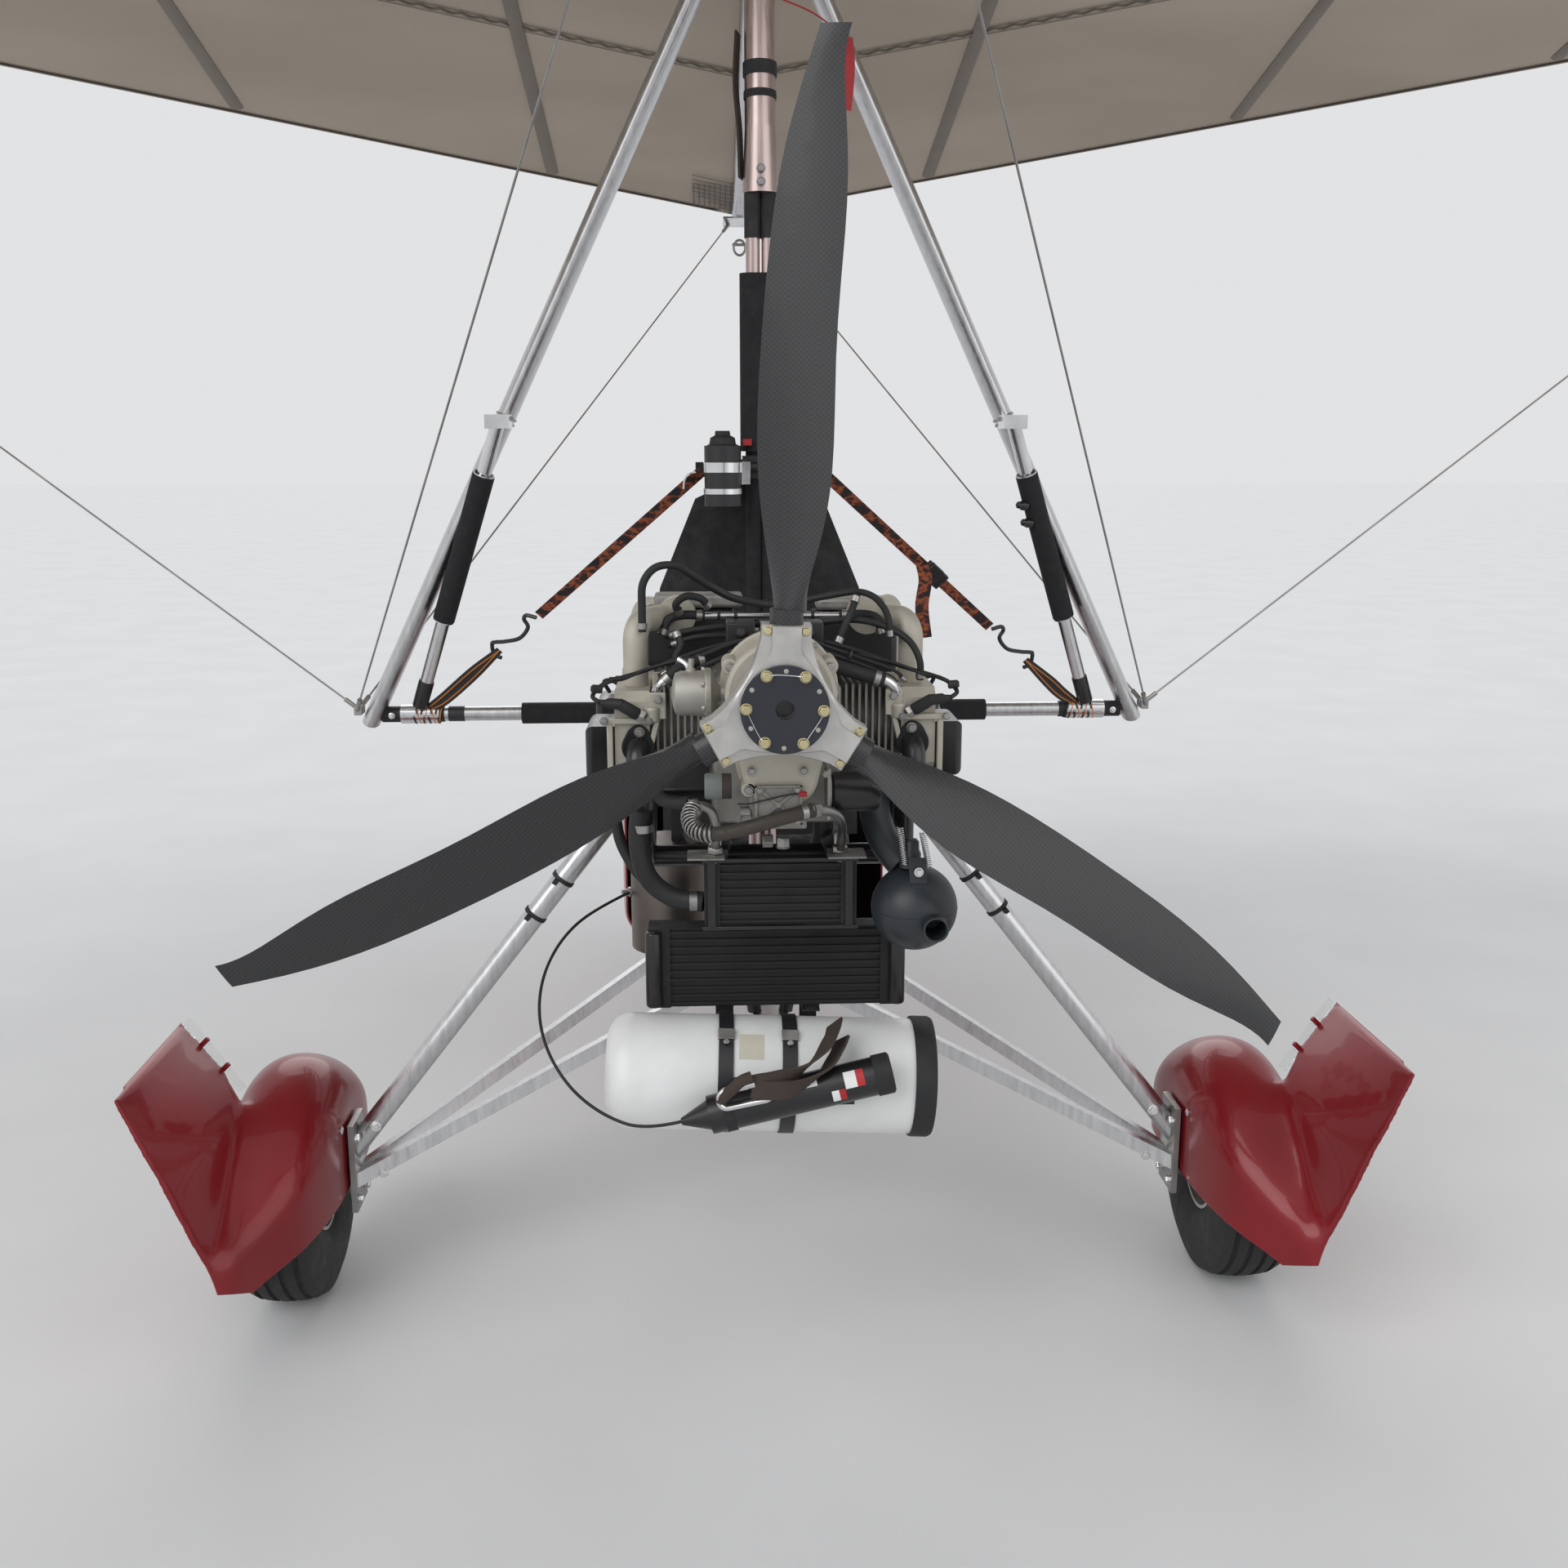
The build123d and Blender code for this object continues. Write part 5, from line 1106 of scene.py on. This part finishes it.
def mast_details():
    """Wraps, bolts, the dark sleeve, the bottle's clamp and cap, the red tag and the backup strap."""
    foot = at(0, MAST_AHEAD, 2045)
    lean = (at(0, HANG_AHEAD, 2297) - foot).normalized()
    wraps = Piece("mast_wraps", "rubber")
    for up, tall, outer in ((95, 22, 30), (52, 12, 29)):
        wraps.ring(foot + lean * up / 1000, lean, 27, outer, tall, 36)
    sleeve = Piece("mast_sleeve", "foam")
    for x in (-14, 14):
        wraps.ring((x, MAST_AHEAD, 1905), UP, 12.5, 15, 90, 24)
        sleeve.rod((x, MAST_AHEAD, 1150), (x, MAST_AHEAD, 1600), 14.6, 24)
    wraps.make()
    bolts = Piece("mast_bolts", "steel")
    for z in (1950, 1972):
        bolts.hex_bolt((0, MAST_AHEAD - 32, z), REAR, 12, 6, 8)
    bolts.make(0.3)
    sleeve.make()
    band = Piece("bottle_clamp", "bright")
    for height, tall in ((1462, 18), (1420, 10)):
        band.ring((*BOTTLE, height), UP, BOTTLE_RADIUS, BOTTLE_RADIUS + 2, tall, 40)
    band.box((-30, 762, 1452), (16, 8, 40)).make(0.4)
    cap = Piece("bottle_cap", "rubber")
    cap.lathe((*BOTTLE, 1500), UP, [(0, 30), (3, 24), (14, 22), (18, 14), (26, 13)], 28).make()
    boxes("reflector", "red", 1, ((-26, 792, 1506), (16, 5, 12)))
    hook = ((-92, 792, 1456), (-128, 786, 1452), (-140, 786, 1440), (-142, 786, 1424))
    Piece("hook_bracket", "bright").ribbon(hook, 18, 3, AHEAD).make()
    tag = Piece("red_tag", "red")
    tag.ribbon(((152, 838, 2196), (156, 836, 2160), (155, 838, 2120), (151, 840, 2078)), 22, 3, (1, 0.2, 0))
    tag.pipe(((30, 846, 2262), (94, 842, 2236), (152, 838, 2196)), 1.6, 8).make(0.6)
    safety = ((-38, 850, 2205), (-42, 842, 2120), (-36, 830, 2040), (-34, 824, 1960))
    Piece("backup_strap", "brown_web").ribbon(safety, 26, 4, (0.3, 1, 0)).make()


# Control frame

GRIP_TOP = (497, 998, 1545)
GRIP_FOOT = (703, 1160, 968)
BAR_RADIUS = 15.2
# finish, radius over the bar, left end, right end
BAR_BANDS = (("rubber", 1.6, -783, -653), ("black", 0.8, -645, -611), ("foam", 7, -492, -324),
             ("foam", 7, 391, 489), ("rubber", 1.6, 646, 779))


def sleeved(piece, start, axis, inner, outer, length, edge, drop):
    """Sleeve round a tube, its edges eased."""
    piece.hollow(start, axis, [(0, inner), (0, outer - drop), (edge, outer), (length - edge, outer),
                               (length, outer - drop), (length, inner)], 32)


def control_frame_details():
    """Sleeves on the bar, foam on the grips, clamps on the uprights and the corner fittings."""
    for number, (finish, extra, left, right) in enumerate(BAR_BANDS):
        sleeve = Piece(f"bar_sleeve_{number}", finish, "wing")
        start = (left, BAR_AHEAD, BAR_HEIGHT)
        sleeved(sleeve, start, RIGHT, BAR_RADIUS, BAR_RADIUS + extra, right - left, 1, 1)
        sleeve.make()
    pins, fittings, clamps, feet, foam = (Piece(name, finish, "wing") for name, finish in (
        ("bar_pins", "bright"), ("corner_fittings", "steel"), ("upright_clamps", "steel"),
        ("foot_brackets", "satin"), ("grip_foam", "foam")))
    for side in SIDES:
        pins.lathe((side * 760, BAR_AHEAD - 19, BAR_HEIGHT), REAR, [(0, 7), (3, 7), (4, 4), (9, 4)], 16)
        pins.rod((side * 738, BAR_AHEAD - 12, BAR_HEIGHT), (side * 738, BAR_AHEAD - 22, BAR_HEIGHT), 4)
        for offset in (16, 0, -16):
            fittings.box((side * 830, BAR_AHEAD + offset, BAR_HEIGHT + 10), (16, 5, 18))
        ends = sided(side, 0, GRIP_TOP, GRIP_FOOT, UPRIGHT_FOOT, UPRIGHT_TOP)
        top, foot, low, high = (at(*p) for p in ends)
        axis = foot - top
        feet.rod(foot - axis.normalized() * 0.062, foot, 16, 24, 2)
        sleeved(foam, top + axis * 0.17, axis, 14.2, 22, 510 * axis.length, 3, 3)
        pillar = between(low, high, 0.415)
        direction = (high - low).normalized()
        across = direction.cross(AHEAD)
        for shift in (-0.005, 0.005):
            line = [pillar + direction * shift + AHEAD * 0.0385 * cos(turn) + across * 0.0205 * sin(turn)
                    for turn in spread(0, 2 * pi, 24)]
            clamps.ribbon(line, 4, 1.6, direction, 1)
        clamps.hex_bolt(pillar + Vector((-side * 18, -40, 0)) / 1000, REAR, 9, 10)
    pins.make(0.4)
    fittings.make(1)
    clamps.make()
    feet.make()
    foam.make()
    controls = Piece("thumb_controls", "satin", "wing")
    for share in (0.28, 0.34):
        place = between(at(*GRIP_TOP), at(*GRIP_FOOT), share) + Vector((-0.02, -0.014, 0))
        controls.lathe(place, (-1, -0.5, 0.1), [(0, 10), (10, 10), (16, 7), (20, 7), (23, 4)], 20)
    controls.make()


# Parking straps from the mast bracket to the control bar

STRAP_TOP = (105, 790, 1458)
STRAP_CORNER = (690, 1170, 950)
# share of the way at which each side's upper strap ends
STRAP_END = {-1: 0.56, 1: 0.62}
# places on the hook: share of the way from the upper strap's end, then aside and up
HOOK = ((0.01, 0, 0), (0.03, 8, 14), (0.055, 0, 18), (0.06, -10, 4), (0.08, -4, -8), (0.12, 4, 4),
        (0.14, 12, 12), (0.165, 6, 20), (0.185, -8, 8), (0.17, -14, -6))


def parking_strap(side):
    """One side's strap from the mast, its hook, and the sling round the bar."""
    word = SIDES[side]
    top, corner = (at(*p) for p in sided(side, 0, STRAP_TOP, STRAP_CORNER))
    wide = (side * 0.5, -0.3, 0.8)
    end = STRAP_END[side]
    start = end + 0.15

    def on_strap(share, x=0, z=0):
        return between(top, corner, share) + Vector((side * x, 0, z)) / 1000

    upper = Piece(f"strap_{word}", "webbing", None)
    upper.ribbon([on_strap(share) for share in (0, 0.06, 0.12, 0.25, 0.4, end)], 20, 2.4, wide)
    strap = upper.make()
    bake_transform(strap)
    turns = [top + Vector((side * 0.002, 0.012 * cos(a), 0.012 * sin(a))) for a in spread(0, 2 * pi, 12)]
    Piece(f"strap_loop_{word}", "webbing").ribbon(turns, 26, 2.4, RIGHT, 1).make()
    hook = Piece(f"hook_{word}", "satin", "hang_block")
    hook.pipe([on_strap(end + share, x, z) for share, x, z in HOOK], 4.2, 10).make()
    sling = Piece(f"sling_{word}", "black", None)
    edge = Piece(f"sling_edge_{word}", "orange", None)
    for shift in (-4.5, 4.5):
        line = [on_strap(start), on_strap(start + 0.1, shift, shift), on_strap(0.93, shift, shift),
                on_strap(1, shift, 8)]
        sling.ribbon(line, 14, 2.4, wide)
        edge.ribbon([p + REAR * 0.0016 for p in line], 2, 3, wide)
    for piece in (sling, edge):
        thing = piece.make()
        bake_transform(thing)
    wrap = Piece(f"sling_wrap_{word}", "black", "wing")
    bright = Piece(f"sling_wrap_edge_{word}", "orange", "wing")
    for k in range(4):
        middle = at(side * (STRAP_CORNER[0] - 24 + 15 * k), BAR_AHEAD, BAR_HEIGHT)
        tilt = (1, 0, 0.18 if k % 2 else -0.18)
        wrap.ring(middle, tilt, 16.5, 20, 12, 28)
        bright.ring(middle + RIGHT * 0.006, tilt, 16.5, 20.6, 2, 28)
    wrap.make()
    bright.make()


def right_buckle():
    """Cam buckle of the right strap and its hanging tail."""
    top = at(*STRAP_TOP)
    corner = at(*STRAP_CORNER)
    place = between(top, corner, 0.4)
    along = (corner - top).normalized()
    buckle = Piece("strap_buckle", "satin", None).box(place, (56, 34, 12), along, (0.5, -0.3, 0.8))
    buckle.box(place + Vector((0, -0.01, 0.006)), (34, 26, 10), along, (0.5, -0.3, 0.8))
    base = between(top, corner, 0.36)
    steps = ((0, 0, 0), (4, -12, -30), (-2, -14, -80), (6, -12, -140))
    tail = Piece("strap_tail", "webbing", None)
    tail.ribbon([base + Vector(step) / 1000 for step in steps], 26, 2.4, RIGHT)
    for thing in (buckle.make(2), tail.make()):
        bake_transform(thing)


# Undercarriage

SPAT_WALL = 3
# ahead, inner edge, outer edge, bottom, top, corner radius; edges from the wheel's middle
SPAT_SECTIONS = (
    (208, 18, 44, 120, 236, 12),
    (262, -14, 60, 60, 268, 28),
    (330, -66, 78, 50, 334, 50),
    (430, -94, 82, 50, 412, 82),
    (560, -101, 82, 50, 438, 90),
    (690, -98, 80, 70, 380, 84),
    (795, -60, 54, 128, 270, 54),
    (822, -38, 32, 156, 236, 34),
)
# half width of the cut at a spat's lower edge, and its heights at the inner and the outer side
HEM_HALF = 100
HEM_INNER = 205
HEM_OUTER = 112
# ends of the crease between the hull and the fin: out from the wheel's middle, ahead, up
CREASE = ((24, 412, 424), (14, 246, 236))
CREASE_REACH = 90
CREASE_ROUNDS = 220
# height, trailing edge out and ahead, leading edge out and ahead, thickness; out from the wheel's middle
FIN_SECTIONS = (
    (150, 28, 195, 0, 335, 26),
    (300, 78, 186, 40, 395, 30),
    (410, 119, 180, 50, 440, 28),
    (525, 164, 175, 166, 505, 15),
)
FIN_EDGE = 8
SKIN_VOXEL = 0.005
SKIN_ROUNDS = 14
# ahead and up, at the rear and the front of the cut under the tail
TAIL_CUT = ((196, 184), (262, 150))


def rounded_ring(inner, outer, low, high, radius, steps=8):
    """Points of a rounded rectangle, as (out, up)."""
    radius = min(radius, 0.49 * (outer - inner), 0.49 * (high - low))
    corners = ((outer - radius, low + radius, -90), (outer - radius, high - radius, 0),
               (inner + radius, high - radius, 90), (inner + radius, low + radius, 180))
    return [(x + radius * cos(turn), z + radius * sin(turn)) for x, z, start in corners
            for turn in spread(radians(start), radians(start + 90), steps)]


def fin_ring(rear_out, rear, front_out, front, thick, steps=10):
    """Lens from a fin's trailing edge to its leading edge and back, as (out, ahead)."""
    start = Vector((rear_out, rear))
    along = Vector((front_out, front)) - start
    across = Vector((-along.y, along.x)).normalized()
    return [start + along * share + across * way * (FIN_EDGE + (thick - FIN_EDGE) * sin(pi * share)) / 2
            for way in (1, -1) for share in spread(0, 1, steps)[::way]]


def smooth_rows(rows):
    """The same skin with rounded rows between the given ones."""
    return list(zip(*[smooth_line(column) for column in zip(*rows)]))


def below_hem(side):
    """Places and downward normals of the sloping planes at a spat's lower edge and under its tail."""
    (rear, high), (ahead, low) = TAIL_CUT
    hem = at(side * (TRACK_HALF - HEM_HALF), 0, HEM_INNER)
    return ((hem, Vector((side * (HEM_OUTER - HEM_INNER), 0, -2 * HEM_HALF))),
            (at(0, rear, high), Vector((0, low - high, rear - ahead))))


def applied(thing):
    """Mesh of an object with its modifiers applied, and the object removed."""
    mesh = bpy.data.meshes.new_from_object(thing.evaluated_get(bpy.context.evaluated_depsgraph_get()))
    bpy.data.objects.remove(thing)
    return mesh


def eased(mesh, side):
    """The same skin smoothed all over, and more along the crease between the hull and the fin."""
    thing = shown("spat_ease", mesh)
    start, end = (at(side * (TRACK_HALF + out), ahead, height) for out, ahead, height in CREASE)
    along = end - start
    group = thing.vertex_groups.new(name="crease")
    for vertex in mesh.vertices:
        share = max(0, min(1, (vertex.co - start).dot(along) / along.length_squared))
        weight = 1 - (vertex.co - start - along * share).length * 1000 / CREASE_REACH
        if weight > 0:
            group.add([vertex.index], weight, "REPLACE")
    for rounds, name in ((SKIN_ROUNDS, ""), (CREASE_ROUNDS, group.name)):
        ease = thing.modifiers.new("Ease", "SMOOTH")
        ease.factor = 0.5
        ease.iterations = rounds
        ease.vertex_group = name
    return applied(thing)


def spat(side):
    """Hollow spat with a canted fin on its tail, in one smooth skin."""
    form = Piece("spat_form_" + SIDES[side], "candy", None)
    hull = [[(x, ahead, z) for x, z in rounded_ring(*ring)] for ahead, *ring in SPAT_SECTIONS]
    fin = [[(x, ahead, z) for x, ahead in fin_ring(*ring)] for z, *ring in FIN_SECTIONS]
    for rows in (hull, fin):
        rows = [[(side * (TRACK_HALF + x), ahead, z) for x, ahead, z in row] for row in rows]
        form.grid(smooth_rows(rows), closed=True)
    source = form.make()
    skin = source.modifiers.new("Skin", "REMESH")
    skin.mode = "VOXEL"
    skin.voxel_size = SKIN_VOXEL
    mesh = eased(applied(source), side)
    shape = bmesh.new()
    shape.from_mesh(mesh)
    for place, normal in below_hem(side):
        everything = shape.verts[:] + shape.edges[:] + shape.faces[:]
        bmesh.ops.bisect_plane(shape, geom=everything, dist=1e-5, plane_co=place, plane_no=normal,
                               clear_outer=True)
    bmesh.ops.recalc_face_normals(shape, faces=shape.faces[:])
    shape.to_mesh(mesh)
    shape.free()
    mesh.materials.clear()
    mesh.materials.append(FINISH["candy"])
    mesh.shade_smooth()
    thing = shown("spat_" + SIDES[side], mesh)
    wall = thing.modifiers.new("Wall", "SOLIDIFY")
    wall.thickness = SPAT_WALL / 1000
    wall.offset = -1
    wall.use_even_offset = False
    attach(thing, "trike")
    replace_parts(thing, "spats")


STRUT_TOP = (238, 550, 915)
STRUT_FOOT = (735, 540, 280)


def gear_details():
    """Ties round the struts, and the bolts that hold the spats and the wishbones."""
    ties = Piece("cable_ties", "rubber")
    bolts = Piece("axle_bolts", "bright")
    for side in SIDES:
        top, foot = (at(*p) for p in sided(side, 0, STRUT_TOP, STRUT_FOOT))
        for share in (0.24, 0.34):
            middle = between(top, foot, share)
            ties.ring(middle, foot - top, 19, 21, 7, 32)
            ties.box(middle + Vector((side * 12, -20, 0)) / 1000, (10, 8, 8), foot - top)
        for ahead in (512, 568):
            for height in (300, 185):
                bolts.hex_bolt((side * 735, ahead, height), -side * RIGHT, 13, 7, 9)
        bolts.hex_bolt((side * 700, 521, 318), (0, -1, 0.1), 14, 8, 10)
        bolts.hex_bolt((side * 692, 528, 226), (0, -1, 0.1), 13, 7, 9)
    ties.make()
    bolts.make(0.4)


def spat_trim():
    """Clear lamp tabs and red lugs on the leading edge of each fin, and the screws of the spats."""
    tabs = Piece("fin_tabs", "tab")
    lugs = Piece("fin_lugs", "candy")
    screws = Piece("spat_screws", "bright")
    for side in SIDES:
        low, top = (at(side * (TRACK_HALF + out), ahead, height)
                    for height, _, _, out, ahead, _ in FIN_SECTIONS[2:])
        edge = top - low
        off = edge.cross(side * AHEAD).normalized() * 0.009
        for share in (0.2, 0.53, 0.86):
            tabs.box(between(low, top, share) + off, (42, 3, 17), edge)
        for share in (0.365, 0.695):
            lugs.box(between(low, top, share) + off, (8, 8, 20), edge)
        for height, ahead in ((330, 480), (262, 610)):
            place = (side * (TRACK_HALF - 99), ahead, height)
            screws.lathe(place, -side * RIGHT, [(0, 7), (2, 7), (4, 4)], 14)
    tabs.make(0.6)
    lugs.make(1.5)
    screws.make()


# Wing

NOSE_AHEAD = 2463
NOSE_HEIGHT = 2115
SWEEP = 0.4766
RISE = 0.119
REAR_ROOT = -100
REAR_SWEEP = 0.097
# span station, leading edge drop back, nose-down angle, nose radius
SAIL_ROWS = ((0, 0, 12.46, 26), (2500, 0, 14, 24), (4350, 0, 15, 18), (4950, 130, 15, 10))
# span stations of the battens
BATTENS = (485, 1180, 1800, 2450, 3080, 3700, 4300)
# start ahead at the root and sweep back of the two seams, and the stations between which they run
SEAMS = ((1616, 0.385, 5, 4300), (560, 0.24, 5, 4500))
# a zigzag between two straight stitches: count of steps, shifts ahead, distance under the sail, width
STITCHES = ((220, (-5, 5), 3, 7), (30, (-14,), 2.5, 2.5), (30, (14,), 2.5, 2.5))
# place ahead at the root, sweep back, span stations and width of the front hem and of the rear one
HEMS = ((NOSE_AHEAD - 34, SWEEP, range(60, 4300, 140), 12),
        (REAR_ROOT + 18, REAR_SWEEP, range(90, 4900, 160), 26))
# points across a batten's band: aside along the span, and distance under the sail
BATTEN_BAND = ((-15, 2), (-9, 6), (9, 6), (15, 2))
NET_LINES = 9


def sail_row(span, back, angle, nose):
    """Front and rear of the sail's underside at one of its sections."""
    slope = radians(angle)
    front = NOSE_AHEAD - SWEEP * span - back
    height = NOSE_HEIGHT + RISE * span
    rear = REAR_ROOT - REAR_SWEEP * span
    chord = (front - rear) / cos(slope)
    return (Vector((span, front - nose * cos(slope), height + nose * sin(slope))),
            Vector((span, rear, height + chord * sin(slope))))


def under_sail(span, ahead, side, drop):
    """Point just under the sail at a span station and a place ahead."""
    for low, high in zip(SAIL_ROWS, SAIL_ROWS[1:]):
        if span <= high[0]:
            break
    share = (span - low[0]) / (high[0] - low[0])
    front, rear = (a.lerp(b, share) for a, b in zip(sail_row(*low), sail_row(*high)))
    along = (front.y - ahead) / (front.y - rear.y)
    return at(side * span, ahead, front.z + (rear.z - front.z) * along - drop)


def wing_details():
    """Batten bands, stitched seams, hems, the net in the nose and its shackle."""
    bands, seams, hems, net = (Piece(name, finish, "wing") for name, finish in (
        ("batten_bands", "band"), ("sail_seams", "seam"), ("sail_edges", "seam"), ("nose_net", "black")))
    for side in SIDES:
        for span in BATTENS:
            front = NOSE_AHEAD - SWEEP * span - 60
            rear = REAR_ROOT - REAR_SWEEP * span + 30
            bands.grid([[under_sail(span + offset, ahead, side, drop) for offset, drop in BATTEN_BAND]
                        for ahead in spread(front, rear, 12)])
        for start, sweep, low, high in SEAMS:
            for count, shifts, drop, width in STITCHES:
                line = [under_sail(span, start - sweep * span + shifts[k % len(shifts)], side, drop)
                        for k, span in enumerate(spread(low, high, count))]
                seams.ribbon(line, width, 0.8, AHEAD, 1)
        for root, sweep, stations, width in HEMS:
            line = [under_sail(span, root - sweep * span, side, 3) for span in stations]
            hems.ribbon(line, width, 1.2, AHEAD, 1)
        for k in range(NET_LINES):
            start = 2420 - 26 * k
            reach = 0.55 * min(230, (2440 - start) / SWEEP * 0.9 + 20)
            net.ribbon([under_sail(2, start, side, 6), under_sail(reach, start - 0.45 * reach, side, 6)],
                       3, 1, AHEAD, 1)
            span = 12 + 14 * k
            net.ribbon([under_sail(span, 2415 - SWEEP * span, side, 6.6), under_sail(span, 2215, side, 6.6)],
                       3, 1, RIGHT, 1)
    for piece in (bands, seams, hems, net):
        piece.make()
    tip = at(0, 2424, 2046)
    turns = [tip + Vector((0.016 * cos(a), 0, 0.02 * sin(a) - 0.012)) for a in spread(0, 2 * pi, 20)]
    shackle = Piece("nose_shackle", "steel", "wing").pipe(turns, 3.5, 10, 1)
    shackle.rod((-20, 2424, 2042), (20, 2424, 2042), 4).make()


# Cockpit

DIALS_AHEAD = 1999
# place across, height and radius of each dial
DIALS = ((-120, 790, 40), (-30, 790, 40), (60, 790, 40), (135, 790, 26), (-75, 726, 24), (0, 726, 24),
         (75, 726, 24))


def cockpit_details():
    dials = Piece("panel_dials", "satin")
    rims = Piece("dial_rims", "bright")
    for x, z, radius in DIALS:
        face = at(x, DIALS_AHEAD, z)
        dials.lathe(face, REAR, [(0, radius), (5, radius), (6, radius - 3)], 32)
        rims.hollow(face, REAR, [(4, radius), (4, radius + 2), (8, radius + 2), (8, radius)], 32)
    dials.make()
    rims.make()


# Stage and light

FLOOR_HALF = 60
SKY = (0.86, 0.89, 0.93, 1)
SKY_STRENGTH = 0.6
BACKDROP = (0.76, 0.765, 0.775, 1)
# name, place, spread in degrees, power, and the place at which the lamp points
LAMPS = (("key", (-5200, -5200, 6200), 45, 1.25, (0, 300, 1000)),
         ("fill", (5200, -4600, 4000), 55, 0.55, (0, 300, 900)),
         ("rim", (0, 7600, 5600), 50, 0.8, (0, 600, 900)))


def stage():
    corners = [[Vector((x, y, 0)) for x in (-FLOOR_HALF, FLOOR_HALF)] for y in (-FLOOR_HALF, FLOOR_HALF)]
    thing = Piece("floor", "floor", None).grid(corners).make()
    world = bpy.data.worlds.new("soft_sky")
    world.use_nodes = True
    tree = world.node_tree
    sky = tree.nodes["Background"]
    sky.inputs["Color"].default_value = SKY
    sky.inputs["Strength"].default_value = SKY_STRENGTH
    backdrop = add(tree, "Background", Color=BACKDROP)
    seen = add(tree, "LightPath").outputs
    mirrored = math_node(tree, "MAXIMUM", seen["Is Glossy Ray"], seen["Is Transmission Ray"])
    direct = math_node(tree, "MAXIMUM", seen["Is Camera Ray"], mirrored)
    choice = add(tree, "MixShader", direct, sky.outputs[0], backdrop.outputs[0])
    feed(tree, tree.nodes["World Output"].inputs["Surface"], choice.outputs[0])
    bpy.context.scene.world = world
    for name, place, angle, power, aim in LAMPS:
        data = bpy.data.lights.new(name, "SUN")
        data.angle = radians(angle)
        data.energy = power
        lamp = shown(name, data)
        lamp.location = at(*place)
        lamp.rotation_euler = (at(*aim) - at(*place)).to_track_quat("-Z", "Y").to_euler()


camera()
activation_cable()
propeller_hub()
propeller_fittings()
wheels()
seats()
engine_hoses()
ignition()
engine_case()
gearbox_fittings()
oil_lines()
exhaust_flanges()
cooler_details()
silencer_details()
canister_details()
mast_details()
control_frame_details()
for side in SIDES:
    parking_strap(side)
right_buckle()
gear_details()
for side in SIDES:
    spat(side)
spat_trim()
wing_details()
cockpit_details()
stage()

scene = bpy.context.scene
scene.view_settings.view_transform = "Standard"
